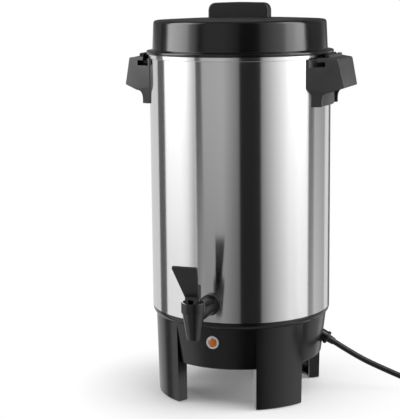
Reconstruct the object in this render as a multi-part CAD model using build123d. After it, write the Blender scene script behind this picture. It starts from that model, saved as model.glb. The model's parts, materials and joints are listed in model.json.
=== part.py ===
"""Electric coffee urn: a steel percolator urn on a four-legged base.

It has a lever tap at the front, two hooded handles, a twist-lock lid and a mains lead.
Millimetres, +Z up. The origin is on the urn's axis at floor level, the tap points to -Y
and the handles stand on +X and -X.
"""

import os
from math import cos, degrees, pi, radians, sin, sqrt, tan

from build123d import *

# Body stack, from the floor up
LEG_HEIGHT = 45.0  # floor to the lower edge of the base skirt
SKIRT_HEIGHT = 54.2  # lower edge of the skirt to the steel
SHELL_HEIGHT = 282.0
SHELL_RADIUS = 100.0
SHELL_WALL = 0.8

# Fits
SEAT_GAP = 0.1  # between faces that seat on each other
RUN_GAP = 0.05  # radial, round pieces that turn or slide
FREE_GAP = 0.6  # moving pieces that must not rub
HOOK_GAP = 1.0  # around the lid's hooks in the handles' slots

# Inner tank
WALL_GAP = 7.2  # air between shell and tank
TANK_WALL = 0.8
TANK_FLOOR_RISE = 9.5  # tank floor above the shell's lower edge
TANK_CORNER = 4.0
RIM_PROUD = 1.5  # rolled rim outside the shell
RIM_HEIGHT = 5.6
RIM_ROUND = 0.6

# Base moulding
BASE_WALL = 2.5
SHADOW_STEP = 0.4  # base shoulder inside the shell's surface
SHOULDER_DROP = 7.7
SHOULDER_INSET = 3.5
SHOULDER_BULGE = 1.4
SKIRT_TAPER = 5.5
SKIRT_EDGE = 1.2  # round at the lower edge
LIP_HEIGHT = 4.0  # ring that centres the shell
FRONT_LEG_ANGLE = 45.5  # middle of a front leg, from the tap
BACK_LEG_ANGLE = 38.0  # middle of a back leg, from the back
LEG_HALF_ANGLE = 17.2
LEG_INSET = 0.1  # leg's upper end inside the skirt's surface
LEG_SPLAY = 1.9  # radius lost from the leg's top to its foot
LEG_DEPTH = 12.0
PAD_HEIGHT = 1.0
PAD_INSET = 2.5
COVER_RECESS = 2.0
COVER_WALL = 2.0
VENT_COUNT = 8
VENT_CIRCLE = 34.0
VENT_LENGTH = 20.0
VENT_WIDTH = 4.0

# Tie studs that draw tank, shell, base and cover together
STUD_ANGLES = (90, 210, 330)
STUD_CIRCLE = 64.0
STUD_RADIUS = 2.5
NUT_FLATS = 8.0
NUT_HEIGHT = 4.0
STUD_END = 1.0
BOSS_WALL = 3.0
BOSS_HEIGHT = 20.0
RIB_WALL = 2.5

# Heater
PLATE_RADIUS = 54.0
PLATE_WALL = 4.0
ELEMENT_CIRCLE = 42.0
ELEMENT_RADIUS = 4.0
ELEMENT_ARC = 300.0
ELEMENT_BEND = 8.0
ELEMENT_LEG = 8.0
THERMOSTAT_RADIUS = 8.5
THERMOSTAT_HEIGHT = 6.0
TAB_LENGTH = 8.0
TAB_WIDTH = 6.3
TAB_WALL = 0.8
FUSE_RADIUS = 2.0
FUSE_LENGTH = 14.0
FUSE_OFFSET = 24.0
WIRE_RADIUS = 1.3
WIRE_SAG = 12.0

# Handles
HANDLE_DROP = 5.7  # handle top below the rim
HANDLE_REACH = 21.4  # outer face beyond the shell, at the top
HANDLE_LEAN = 4.6  # how much further out the lip is
LIP_DROP = 30.3
ROOT_DROP = 38.6  # where the underside meets the mounting leg
FOOT_DROP = 49.6  # end of the mounting leg
FOOT_REACH = 5.5
HANDLE_HALF_WIDTH = 25.5  # at the outer face
HANDLE_FLARE = 0.5  # wider than that beside the shell
HANDLE_WALL = 2.6
BACK_WALL = 4.2
SADDLE_WALL = 2.0
SADDLE_HALF_WIDTH = 46.5
SADDLE_FOOT_HALF_WIDTH = 38.5
SADDLE_BLEND = 9.0
HANDLE_TOP_ROUND = 2.5
HANDLE_SIDE_ROUND = 1.6
ROOT_ROUND = 6.0
RIDGE_WIDTH = 5.0
RIDGE_HEIGHT = 4.5
HANDLE_SCREW_DROPS = (19.0, 41.0)
SCREW_RADIUS = 2.0
SCREW_HEAD_RADIUS = 3.6
SCREW_HEAD_HEIGHT = 2.2
SCREW_BITE = 3.5  # length held in plastic

# Lid
LID_HEIGHT = 36.0
LID_INSET = 4.9  # foot of the lid's wall inside the rim's edge
LID_DRAFT = 1.6  # and its top further in
LID_WALL = 2.4
LID_ROUND = 3.0
FLANGE_HEIGHT = 5.5
FLANGE_INSET = 0.4  # flange inside the rim's edge
FLANGE_FALL = 0.7
GROOVE_HEIGHT = 1.3
GROOVE_DEPTH = 1.2
PLUG_DEPTH = 8.0
HOOK_HALF_ANGLE = 11.0
HOOK_ARM_TOP = 3.2  # above the rim
HOOK_WEB = 3.0
HOOK_TOE = 6.0
HOOK_TOE_HEIGHT = 3.4
HOOK_REACH_DOWN = 14.3  # below the rim's top
KNOB_LENGTH = 69.0
KNOB_WIDTH = 14.0
KNOB_HEIGHT = 19.0
KNOB_CORNER = 6.0
KNOB_EDGE = 1.6
KNOB_SCREW_SPAN = 40.0

# Percolator
PUMP_RADIUS = 7.0
PUMP_WALL = 1.0
PUMP_HEIGHT = 226.5
PUMP_COLLAR_RISE = 146.0
PUMP_COLLAR = 3.0
PUMP_FOOT_RADIUS = 30.0
PUMP_FOOT_HEIGHT = 12.0
PUMP_FOOT_WALL = 1.2
BASKET_RADIUS = 62.0
BASKET_HEIGHT = 62.0
BASKET_WALL = 0.8
BASKET_HOLE = 1.6
BASKET_RINGS = (22.0, 36.0, 50.0)
BASKET_RING_COUNTS = (8, 12, 16)
COVER_HOLE = 2.2
COVER_RINGS = (26.0, 46.0)
COVER_RING_COUNTS = (8, 12)
BASKET_COVER_DISH = 5.0
BASKET_COVER_LIP = 4.0

# Tap
TAP_RISE = 13.5  # shank axis above the tank's floor
TAP_REACH = 52.8  # spout axis beyond the shell
SHANK_RADIUS = 7.5
THREAD_RADIUS = 6.0
SHANK_BORE = 4.0
COLLAR_RADIUS = 9.2
COLLAR_WALL = 3.0
WASHER_RADIUS = 10.0
WASHER_WALL = 2.5
TAP_NUT_FLATS = 19.0
TAP_NUT_HEIGHT = 5.0
THREAD_END = 2.0
GASKET_RADIUS = 9.0
GASKET_WALL = 2.0
CUP_RADIUS = 12.75
CUP_WALL = 1.85
CUP_FOOT = 2.0  # cup's lower edge above the shank axis
CUP_HEIGHT = 9.5
SPOUT_RADIUS = 10.5
SPOUT_TIP_RADIUS = 7.0
SPOUT_DROP = 28.6  # tip below the shank axis
OUTLET_RADIUS = 4.0
CHAMBER_RADIUS = 6.0
SEAT_DROP = 15.0  # valve seat below the shank axis
BONNET_WALL = 4.0
BONNET_SINK = 3.0  # bonnet's top below the cup's rim
STEM_RADIUS = 2.5
SEAL_RADIUS = 5.4
SEAL_HEIGHT = 8.0
SPRING_WIRE = 0.8
SPRING_TURNS = 5

# Lever
LEVER_LEAN = 30.0  # towards the user, valve closed
LEVER_TILT = 35.0  # further, valve open
CAM_RADIUS = 5.0  # stem lift for each radian of tilt
PIN_RISE = 5.0  # pin above the bonnet
PIN_RADIUS = 1.2
HUB_HALF_WIDTH = 6.5
HUB_BACK = 5.0  # upright back face behind the pin
HUB_RISE = 16.0  # that face's top above the pin
HUB_FRONT = 7.0
HUB_CREST = 20.0  # where the hub runs into the paddle
HUB_ROUND = 3.0
PADDLE_LENGTH = 46.5  # from the pin
PADDLE_TOP_WIDTH = 28.0
PADDLE_FOOT_WIDTH = 13.0
PADDLE_WALL = 3.4
PADDLE_CORNER = 1.6

# Pilot lamp
LAMP_DROP = 23.2  # below the shell's lower edge
BEZEL_RADIUS = 7.0
BEZEL_PROUD = 2.2
BEZEL_BARREL = 5.6
BEZEL_DEPTH = 12.0
LENS_RADIUS = 4.9
LENS_DOME = 1.6
LENS_DEPTH = 3.0
LAMP_RADIUS = 3.4
LAMP_LENGTH = 12.0

# Mains lead
CORD_RADIUS = 3.25
GLAND_ANGLE = 13.0  # from +X towards the back
GLAND_DROP = 37.2  # below the shell's lower edge
GLAND_TILT = 32.0  # downwards
GLAND_BOSS_RADIUS = 6.5
GLAND_BOSS_PROUD = 4.4
GLAND_BARREL = 5.0
GLAND_DEPTH = 8.0
GLAND_FLANGE_RADIUS = 7.5
GLAND_FLANGE_WALL = 3.1
GLAND_NOSE = 7.5
GLAND_NOSE_RADIUS = 4.6
GLAND_TIP_RADIUS = 3.9
CORD_STRAIGHT = 19.1  # out of the gland along its axis
# Then the free stretch: distance from the urn's axis in the gland's direction, and height
CORD_ROUTE = (
    (140.5, 33.4),
    (160.5, 24.4),
    (181.0, 15.6),
    (199.0, 8.6),
    (216.0, 5.0),
)
CORD_LAID = (232.0, 246.0)  # where it touches down, and where the coil starts
COIL_RADIUS = 40.0  # outermost turn
COIL_PITCH = 7.2  # turn to turn
COIL_CLIMB = 7.2  # layer to layer
COIL_TURNS_IN = 1.5
COIL_TURNS_UP = 0.5
COIL_TURNS_OUT = 1.25
COIL_LEAD = 8.0  # straight start
COIL_TAIL = 24.0  # straight end, into the plug
TIE_WIDTH = 9.0
TIE_WALL = 0.8
TIE_TURN = 0.6  # where the tie sits, in turns from the coil's start
PLUG_HALF_WIDTH = 12.0
PLUG_LENGTH = 30.0
PLUG_RELIEF = 20.0
PLUG_ROUND = 4.0
BLADE_WIDTH = 6.3
BLADE_WALL = 1.5
BLADE_LENGTH = 16.0
BLADE_SPACING = 12.7
BLADE_SEAT = 4.0

# Heights and radii that follow from the driving dimensions
shell_bottom = LEG_HEIGHT + SKIRT_HEIGHT
shell_top = shell_bottom + SHELL_HEIGHT
shell_bore = SHELL_RADIUS - SHELL_WALL
rim_top = shell_top + TANK_WALL
rim_radius = SHELL_RADIUS + RIM_PROUD
tank_radius = shell_bore - WALL_GAP
tank_bore = tank_radius - TANK_WALL
tank_under = shell_bottom + TANK_FLOOR_RISE
tank_floor = tank_under + TANK_WALL
skirt_top = shell_bottom - SHOULDER_DROP
skirt_top_radius = SHELL_RADIUS - SHOULDER_INSET
skirt_foot_radius = skirt_top_radius - SKIRT_TAPER
cover_under = LEG_HEIGHT + COVER_RECESS
cover_top = cover_under + COVER_WALL
leg_top_radius = skirt_top_radius - LEG_INSET
leg_foot_radius = leg_top_radius - LEG_SPLAY
leg_angles = [
    -90 - FRONT_LEG_ANGLE,
    -90 + FRONT_LEG_ANGLE,
    90 - BACK_LEG_ANGLE,
    90 + BACK_LEG_ANGLE,
]
plate_under = tank_under - PLATE_WALL
handle_top = rim_top - HANDLE_DROP
lid_top = rim_top + LID_HEIGHT
lid_root_radius = rim_radius - LID_INSET
lid_top_radius = lid_root_radius - LID_DRAFT
flange_radius = rim_radius - FLANGE_INSET
flange_top = rim_top + FLANGE_HEIGHT
slot_inner = SHELL_RADIUS + SADDLE_WALL + SEAT_GAP
hook_inner = slot_inner + HOOK_GAP
hook_outer = hook_inner + HOOK_WEB
toe_outer = hook_outer + HOOK_TOE
toe_bottom = rim_top - HOOK_REACH_DOWN
toe_top = toe_bottom + HOOK_TOE_HEIGHT
slot_floor = toe_bottom - HOOK_GAP
slot_roof = toe_top + HOOK_GAP
slot_outer = toe_outer + HOOK_GAP
neck_outer = hook_outer + HOOK_GAP
tap_z = tank_floor + TAP_RISE
spout_y = -(SHELL_RADIUS + TAP_REACH)
cup_foot = tap_z + CUP_FOOT
cup_top = cup_foot + CUP_HEIGHT
cup_bore = CUP_RADIUS - CUP_WALL
bonnet_top = cup_top - BONNET_SINK
bonnet_under = bonnet_top - BONNET_WALL
seat_z = tap_z - SEAT_DROP
pin_z = bonnet_top + PIN_RISE
lamp_z = shell_bottom - LAMP_DROP
gland_z = shell_bottom - GLAND_DROP
laid_z = CORD_RADIUS + TIE_WALL + SEAT_GAP  # the tie lies between the lead and the floor


def skirt_radius(z):
    """Outer radius of the base skirt at a height."""
    return skirt_foot_radius + SKIRT_TAPER * (z - LEG_HEIGHT) / (skirt_top - LEG_HEIGHT)


def leg_radius(z):
    """Outer radius of a leg at a height."""
    return leg_foot_radius + LEG_SPLAY * (z - PAD_HEIGHT) / (skirt_top - PAD_HEIGHT)


def polar(radius, angle, z=0.0):
    """Point at a radius and an angle in degrees from +X."""
    return Vector(radius * cos(radians(angle)), radius * sin(radians(angle)), z)


def outline(points, rounds=()):
    """Closed flat outline; rounds lists (corner, radius)."""
    face = make_face(Polyline(*points, close=True))
    for corner, radius in rounds:
        face = fillet(face.vertices().sort_by_distance(corner)[0], radius)
    return face


def turned(points, rounds=(), arc=360.0, start=0.0):
    """Outline in (radius, height) turned about Z through an arc."""
    return Rot(0, 0, start) * revolve(Plane.XZ * outline(points, rounds), Axis.Z, arc)


def tube(outer, inner, low, high):
    """Plain ring between two heights."""
    return turned([(inner, low), (outer, low), (outer, high), (inner, high)])


def rod(radius, start, end):
    """Round bar from one point to another."""
    run = Vector(*end) - Vector(*start)
    bar = Cylinder(radius, run.length, align=(Align.CENTER, Align.CENTER, Align.MIN))
    return Plane(origin=start, z_dir=run) * bar


def hex_nut(flats, bore, height):
    """Hexagon nut standing on the XY plane."""
    return extrude(RegularPolygon(flats / 2, 6, major_radius=False) - Circle(bore), height)


def upright(face, thickness):
    """XZ outline given a thickness, half to each side of Y = 0."""
    return extrude(Plane.XZ * face, thickness / 2, both=True)


# Shell and tank


def handle_screw_places():
    """Height and side of each handle screw."""
    return [(handle_top - drop, side) for side in (1, -1) for drop in HANDLE_SCREW_DROPS]


def outer_shell():
    shell = tube(SHELL_RADIUS, shell_bore, shell_bottom, shell_top)
    shell -= rod(THREAD_RADIUS + SEAT_GAP, (0, 0, tap_z), (0, 2 * -SHELL_RADIUS, tap_z))
    for z, side in handle_screw_places():
        shell -= rod(SCREW_RADIUS + SEAT_GAP, (0, 0, z), (side * 2 * SHELL_RADIUS, 0, z))
    return shell


def inner_tank():
    hem = SHELL_RADIUS + SEAT_GAP
    tank = turned(
        [
            (0, tank_under),
            (tank_radius, tank_under),
            (tank_radius, shell_top),
            (hem, shell_top),
            (hem, rim_top - RIM_HEIGHT),
            (rim_radius, rim_top - RIM_HEIGHT),
            (rim_radius, rim_top),
            (tank_bore, rim_top),
            (tank_bore, tank_floor),
            (0, tank_floor),
        ],
        [
            ((tank_radius, tank_under), TANK_CORNER),
            ((tank_bore, tank_floor), TANK_CORNER - TANK_WALL),
            ((rim_radius, rim_top - RIM_HEIGHT), RIM_ROUND),
            ((rim_radius, rim_top), RIM_ROUND),
            ((tank_bore, rim_top), TANK_WALL),
        ],
    )
    return tank - rod(THREAD_RADIUS + SEAT_GAP, (0, 0, tap_z), (0, 2 * -SHELL_RADIUS, tap_z))


# Base, legs and bottom cover


def leg(angle):
    """One moulded leg: a curved outer wall, two side flanges and a sole."""
    wall = BASE_WALL - 2 * LEG_INSET
    start = angle - LEG_HALF_ANGLE
    body = turned(
        [
            (leg_foot_radius, PAD_HEIGHT),
            (leg_top_radius, skirt_top),
            (leg_top_radius - wall, skirt_top),
            (leg_foot_radius - wall, PAD_HEIGHT),
        ],
        arc=2 * LEG_HALF_ANGLE,
        start=start,
    )
    inside = leg_foot_radius - LEG_DEPTH
    flange_z = cover_under - SEAT_GAP
    flange = outline(
        [
            (inside, PAD_HEIGHT),
            (leg_radius(PAD_HEIGHT) - wall / 2, PAD_HEIGHT),
            (leg_radius(flange_z) - wall / 2, flange_z),
            (inside, flange_z),
        ]
    )
    first = extrude(Plane.XZ * flange, -BASE_WALL)
    last = extrude(Plane.XZ * flange, BASE_WALL)
    body += Rot(0, 0, start) * first
    body += Rot(0, 0, start + 2 * LEG_HALF_ANGLE) * last
    body += turned(
        [
            (inside, PAD_HEIGHT),
            (leg_foot_radius - wall / 2, PAD_HEIGHT),
            (leg_foot_radius - wall / 2, PAD_HEIGHT + BASE_WALL),
            (inside, PAD_HEIGHT + BASE_WALL),
        ],
        arc=2 * LEG_HALF_ANGLE,
        start=start,
    )
    return body


def gland_frame():
    """Plane on the skirt's surface whose normal is the lead's way out."""
    radius = skirt_radius(gland_z)
    across = polar(cos(radians(GLAND_TILT)), GLAND_ANGLE)
    way = across - Vector(0, 0, sin(radians(GLAND_TILT)))
    return Plane(origin=polar(radius, GLAND_ANGLE, gland_z), z_dir=way)


def base_housing():
    lip = shell_bore - SEAT_GAP
    crest = (SHELL_RADIUS - SHADOW_STEP, shell_bottom)
    brow = (skirt_top_radius, skirt_top)
    run = Vector(*brow) - Vector(*crest)
    out = Vector(-run.Y, run.X).normalized()
    bulge = (Vector(*crest) + Vector(*brow)) * 0.5 + out * SHOULDER_BULGE
    shoulder = ThreePointArc(crest, bulge, brow)
    rest = Polyline(
        brow,
        (skirt_foot_radius, LEG_HEIGHT),
        (skirt_foot_radius - BASE_WALL, LEG_HEIGHT),
        (skirt_top_radius - BASE_WALL, skirt_top),
        (lip - BASE_WALL, shell_bottom),
        (lip - BASE_WALL, shell_bottom + LIP_HEIGHT),
        (lip, shell_bottom + LIP_HEIGHT),
        (lip, shell_bottom),
        crest,
    )
    section = make_face([*shoulder.edges(), *rest.edges()])
    edge = section.vertices().sort_by_distance((skirt_foot_radius, LEG_HEIGHT))[0]
    body = revolve(Plane.XZ * fillet(edge, SKIRT_EDGE), Axis.Z)
    for angle in leg_angles:
        body += leg(angle)
    boss_radius = STUD_RADIUS + BOSS_WALL
    boss_top = cover_top + BOSS_HEIGHT
    rib = outline(
        [
            (STUD_CIRCLE, cover_top),
            (skirt_radius(cover_top) - BASE_WALL / 2, cover_top),
            (skirt_radius(boss_top) - BASE_WALL / 2, boss_top),
            (STUD_CIRCLE, boss_top),
        ]
    )
    for angle in STUD_ANGLES:
        foot = polar(STUD_CIRCLE, angle, cover_top)
        body += Rot(0, 0, angle) * upright(rib, RIB_WALL)
        body += rod(boss_radius, foot, foot + Vector(0, 0, BOSS_HEIGHT))
        body -= rod(
            STUD_RADIUS + SEAT_GAP, polar(STUD_CIRCLE, angle), polar(STUD_CIRCLE, angle, boss_top + 1)
        )
    body -= rod(BEZEL_BARREL + SEAT_GAP, (0, 0, lamp_z), (0, -SHELL_RADIUS, lamp_z))
    gland = gland_frame()
    boss = gland.offset(-BASE_WALL) * Cylinder(
        GLAND_BOSS_RADIUS,
        BASE_WALL + GLAND_BOSS_PROUD,
        align=(Align.CENTER, Align.CENTER, Align.MIN),
    )
    body += boss
    bore = gland.offset(-2 * GLAND_DEPTH) * Cylinder(
        GLAND_BARREL + SEAT_GAP,
        4 * GLAND_DEPTH,
        align=(Align.CENTER, Align.CENTER, Align.MIN),
    )
    return body - bore


def foot_pads():
    inner = leg_foot_radius - LEG_DEPTH + PAD_INSET
    outer = leg_foot_radius - PAD_INSET
    half = LEG_HALF_ANGLE - degrees(PAD_INSET / inner)
    section = [(inner, 0), (outer, 0), (outer, PAD_HEIGHT), (inner, PAD_HEIGHT)]
    return [turned(section, arc=2 * half, start=angle - half) for angle in leg_angles]


def bottom_cover():
    radius = skirt_radius(cover_under) - BASE_WALL - 3 * SEAT_GAP
    plate = Pos(0, 0, cover_under) * extrude(Circle(radius), COVER_WALL)
    for angle in STUD_ANGLES:
        hole = Pos(*polar(STUD_CIRCLE, angle)) * Circle(STUD_RADIUS + SEAT_GAP)
        plate -= extrude(hole, cover_top)
    for place in PolarLocations(VENT_CIRCLE, VENT_COUNT):
        plate -= extrude(place * SlotOverall(VENT_LENGTH, VENT_WIDTH), cover_top)
    return plate


def tie_studs():
    low = cover_under - NUT_HEIGHT - STUD_END
    return [
        rod(STUD_RADIUS, polar(STUD_CIRCLE, angle, low), polar(STUD_CIRCLE, angle, tank_under))
        for angle in STUD_ANGLES
    ]


def tie_nuts():
    nut = hex_nut(NUT_FLATS, STUD_RADIUS + RUN_GAP, NUT_HEIGHT)
    return [
        Pos(*polar(STUD_CIRCLE, angle, cover_under - NUT_HEIGHT)) * nut for angle in STUD_ANGLES
    ]


# Heater and its controls


def heater_plate():
    return Pos(0, 0, plate_under) * extrude(Circle(PLATE_RADIUS), PLATE_WALL)


def element_ends():
    """Angles of the heating ring's two ends, either side of the back."""
    gap = (360 - ELEMENT_ARC) / 2
    return 90 - gap, 90 + gap


def heating_element():
    """Tube bent to a ring under the heater plate, its two ends turned down."""
    z = plate_under - ELEMENT_RADIUS - SEAT_GAP
    down = Vector(0, 0, -1)
    right, left = element_ends()
    ring = Pos(0, 0, z) * CenterArc((0, 0), ELEMENT_CIRCLE, left, ELEMENT_ARC)
    ends = []
    for angle, turn in ((left, -90), (right, 90)):
        ring_end = polar(ELEMENT_CIRCLE, angle, z)
        way = polar(1, angle + turn)
        knee = ring_end + (way + down) * ELEMENT_BEND
        bend = Edge.make_tangent_arc(ring_end, way, knee)
        ends.append([bend, Edge.make_line(knee, knee + down * ELEMENT_LEG)])
    path = Wire([*ends[0][::-1], *ring.edges(), *ends[1]])
    section = Plane(origin=path @ 0, z_dir=path % 0) * Circle(ELEMENT_RADIUS)
    return sweep(section, path)


def thermostat():
    body = Pos(0, 0, plate_under - THERMOSTAT_HEIGHT) * extrude(
        Circle(THERMOSTAT_RADIUS), THERMOSTAT_HEIGHT
    )
    tab = Box(TAB_WALL, TAB_WIDTH, TAB_LENGTH, align=(Align.CENTER, Align.CENTER, Align.MAX))
    for side in (1, -1):
        x = side * (THERMOSTAT_RADIUS - TAB_WIDTH / 2)
        body += Pos(x, 0, plate_under - THERMOSTAT_HEIGHT) * tab
    return body


def thermal_fuse():
    """Fuse barrel in its clip, against the heater plate."""
    z = plate_under - FUSE_RADIUS - SEAT_GAP
    half = FUSE_LENGTH / 2
    return rod(FUSE_RADIUS, (FUSE_OFFSET, -half, z), (FUSE_OFFSET, half, z))


# Handles


def handle_outline():
    """Side view of a handle, outer face to the right."""
    inside = SHELL_RADIUS * 0.6
    foot_x = SHELL_RADIUS + FOOT_REACH
    top_x = SHELL_RADIUS + HANDLE_REACH
    lip = (top_x + HANDLE_LEAN, handle_top - LIP_DROP)
    root = (foot_x, handle_top - ROOT_DROP)
    return outline(
        [
            (inside, handle_top),
            (top_x, handle_top),
            lip,
            root,
            (foot_x, handle_top - FOOT_DROP),
            (inside, handle_top - FOOT_DROP),
        ],
        [
            ((top_x, handle_top), HANDLE_TOP_ROUND),
            (lip, HANDLE_WALL / 2),
            (root, ROOT_ROUND),
            ((foot_x, handle_top - FOOT_DROP), HANDLE_WALL / 2),
        ],
    )


def handle_plan(inset):
    """Plan of the hood, inset by a wall: a trapezium that widens towards the shell."""
    far = SHELL_RADIUS + HANDLE_REACH + HANDLE_LEAN - inset
    half = HANDLE_HALF_WIDTH - inset
    near = SHELL_RADIUS * 0.6
    spread = HANDLE_FLARE * (far - near) / (HANDLE_REACH + HANDLE_LEAN)
    corners = [(near, -half - spread), (far, -half), (far, half), (near, half + spread)]
    rounds = [(corners[1], HANDLE_SIDE_ROUND), (corners[2], HANDLE_SIDE_ROUND)]
    return outline(corners, rounds)


def handle():
    """Handle on the +X side: hood, saddle and the T-slot for the lid's hook."""
    lower = handle_top - FOOT_DROP
    tall = FOOT_DROP + RIDGE_HEIGHT
    saddle_radius = SHELL_RADIUS + SADDLE_WALL
    band = Pos(saddle_radius, 0) * Rectangle(saddle_radius, 2 * SADDLE_HALF_WIDTH)
    saddle = Circle(saddle_radius) & band
    plan = handle_plan(0) + saddle
    meets = saddle_radius * 0.9
    inner_corners = [
        v
        for v in plan.vertices()
        if abs(Vector(v).length - saddle_radius) < SEAT_GAP
        and abs(v.Y) < SADDLE_HALF_WIDTH - SEAT_GAP
        and v.X > meets
    ]
    plan = fillet(inner_corners, SADDLE_BLEND)
    plan -= Circle(SHELL_RADIUS + SEAT_GAP)
    blank = Pos(0, 0, lower) * extrude(plan, tall)
    side = upright(handle_outline(), 3 * SADDLE_HALF_WIDTH)
    step = SADDLE_HALF_WIDTH - SADDLE_FOOT_HALF_WIDTH
    lip_z = handle_top - LIP_DROP
    front = outline(
        [
            (-SADDLE_HALF_WIDTH, handle_top + RIDGE_HEIGHT),
            (-SADDLE_HALF_WIDTH, lip_z),
            (-SADDLE_FOOT_HALF_WIDTH, lip_z - step),
            (-SADDLE_FOOT_HALF_WIDTH, lower),
            (SADDLE_FOOT_HALF_WIDTH, lower),
            (SADDLE_FOOT_HALF_WIDTH, lip_z - step),
            (SADDLE_HALF_WIDTH, lip_z),
            (SADDLE_HALF_WIDTH, handle_top + RIDGE_HEIGHT),
        ]
    )
    body = blank & side & extrude(Plane.YZ * front, 2 * SHELL_RADIUS)

    ridge_top = handle_top + RIDGE_HEIGHT
    ridge = tube(neck_outer + RIDGE_WIDTH, neck_outer, handle_top - HANDLE_WALL, ridge_top)
    body += ridge & (Pos(0, 0, lower) * extrude(handle_plan(HANDLE_SIDE_ROUND / 2), tall))

    lean = HANDLE_LEAN / LIP_DROP
    ceiling = slot_floor - HANDLE_WALL
    wall = HANDLE_WALL * sqrt(1 + lean**2)
    back = SHELL_RADIUS + BACK_WALL

    def inner_face(z):
        return SHELL_RADIUS + HANDLE_REACH + lean * (handle_top - z) - wall

    below = lower - HANDLE_WALL
    hollow = upright(
        outline(
            [
                (back, ceiling),
                (inner_face(ceiling), ceiling),
                (inner_face(below), below),
                (back, below),
            ],
            [((inner_face(ceiling), ceiling), HANDLE_WALL), ((back, ceiling), HANDLE_WALL)],
        ),
        2 * SADDLE_HALF_WIDTH,
    )
    body -= hollow & (Pos(0, 0, below) * extrude(handle_plan(HANDLE_WALL), tall))

    body -= tube(slot_outer, slot_inner, slot_floor, slot_roof)
    body -= tube(neck_outer, slot_inner, slot_roof - SEAT_GAP, rim_top)
    for drop in HANDLE_SCREW_DROPS:
        z = handle_top - drop
        body -= rod(SCREW_RADIUS + RUN_GAP, (0, 0, z), (SHELL_RADIUS + SCREW_BITE + SEAT_GAP, 0, z))
    return body


def handle_screws():
    """Pan-head screws from inside the shell into the handles' back walls."""
    seat = sqrt(shell_bore**2 - SCREW_HEAD_RADIUS**2) - SEAT_GAP
    screws = []
    for z, side in handle_screw_places():
        shank = rod(SCREW_RADIUS, (side * seat, 0, z), (side * (SHELL_RADIUS + SCREW_BITE), 0, z))
        head = rod(SCREW_HEAD_RADIUS, (side * seat, 0, z), (side * (seat - SCREW_HEAD_HEIGHT), 0, z))
        screws.append(shank + head)
    return screws


# Lid


def lid_hook(start):
    """L-shaped bayonet hook beside the lid's flange."""
    arm_top = rim_top + HOOK_ARM_TOP
    return turned(
        [
            (flange_radius - HOOK_WEB, arm_top),
            (hook_outer, arm_top),
            (hook_outer, toe_top),
            (toe_outer, toe_top),
            (toe_outer, toe_bottom),
            (hook_inner, toe_bottom),
            (hook_inner, rim_top + HOOK_GAP),
            (flange_radius - HOOK_WEB, rim_top + HOOK_GAP),
        ],
        [((hook_outer, arm_top), HOOK_WEB / 3)],
        arc=2 * HOOK_HALF_ANGLE,
        start=start,
    )


def knob_screw_places():
    """Sides of the two screws that hold the knob."""
    return (-KNOB_SCREW_SPAN / 2, KNOB_SCREW_SPAN / 2)


def lid_shell():
    plug_radius = tank_bore - FREE_GAP
    plug_low = rim_top - PLUG_DEPTH
    groove_top = flange_top + GROOVE_HEIGHT
    groove_radius = lid_root_radius - GROOVE_DEPTH
    flange_edge = (flange_radius, flange_top - FLANGE_FALL)
    lid = turned(
        [
            (0, lid_top),
            (lid_top_radius, lid_top),
            (lid_root_radius, groove_top),
            (groove_radius, groove_top),
            (groove_radius, flange_top),
            flange_edge,
            (flange_radius, rim_top),
            (plug_radius, rim_top),
            (plug_radius, plug_low),
            (plug_radius - LID_WALL, plug_low),
            (plug_radius - LID_WALL, rim_top),
            (lid_top_radius - LID_WALL, groove_top),
            (lid_top_radius - LID_WALL, lid_top - LID_WALL),
            (0, lid_top - LID_WALL),
        ],
        [
            ((lid_top_radius, lid_top), LID_ROUND),
            (flange_edge, 1.5 * FLANGE_FALL),
            ((flange_radius, rim_top), FLANGE_FALL),
        ],
    )
    for start in (-HOOK_HALF_ANGLE, 180 - HOOK_HALF_ANGLE):
        lid += lid_hook(start)
    for x in knob_screw_places():
        lid -= rod(SCREW_RADIUS + SEAT_GAP, (x, 0, rim_top), (x, 0, lid_top + LID_WALL))
    return lid


def lid_knob():
    half = KNOB_LENGTH / 2
    top = lid_top + KNOB_HEIGHT
    front = outline(
        [(-half, lid_top), (half, lid_top), (half, top), (-half, top)],
        [((half, top), KNOB_CORNER), ((-half, top), KNOB_CORNER)],
    )
    knob = upright(front, KNOB_WIDTH)
    faces = knob.faces().sort_by(Axis.Y)
    rims = [e for f in (faces[0], faces[-1]) for e in f.edges() if e.center().Z > lid_top + SEAT_GAP]
    knob = fillet(rims, KNOB_EDGE)
    for x in knob_screw_places():
        knob -= rod(SCREW_RADIUS + RUN_GAP, (x, 0, lid_top), (x, 0, lid_top + SCREW_BITE + SEAT_GAP))
    return knob


def knob_screws():
    under = lid_top - LID_WALL
    screws = []
    for x in knob_screw_places():
        shank = rod(SCREW_RADIUS, (x, 0, under), (x, 0, lid_top + SCREW_BITE))
        head = rod(SCREW_HEAD_RADIUS, (x, 0, under), (x, 0, under - SCREW_HEAD_HEIGHT))
        screws.append(shank + head)
    return screws


# Percolator


def pump_tube():
    low = tank_floor + PUMP_FOOT_HEIGHT
    collar = low + PUMP_COLLAR_RISE - PUMP_FOOT_HEIGHT
    body = tube(PUMP_RADIUS, PUMP_RADIUS - PUMP_WALL, low, tank_floor + PUMP_HEIGHT)
    return body + tube(PUMP_RADIUS + PUMP_COLLAR, PUMP_RADIUS - PUMP_WALL, collar - PUMP_WALL, collar)


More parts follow.
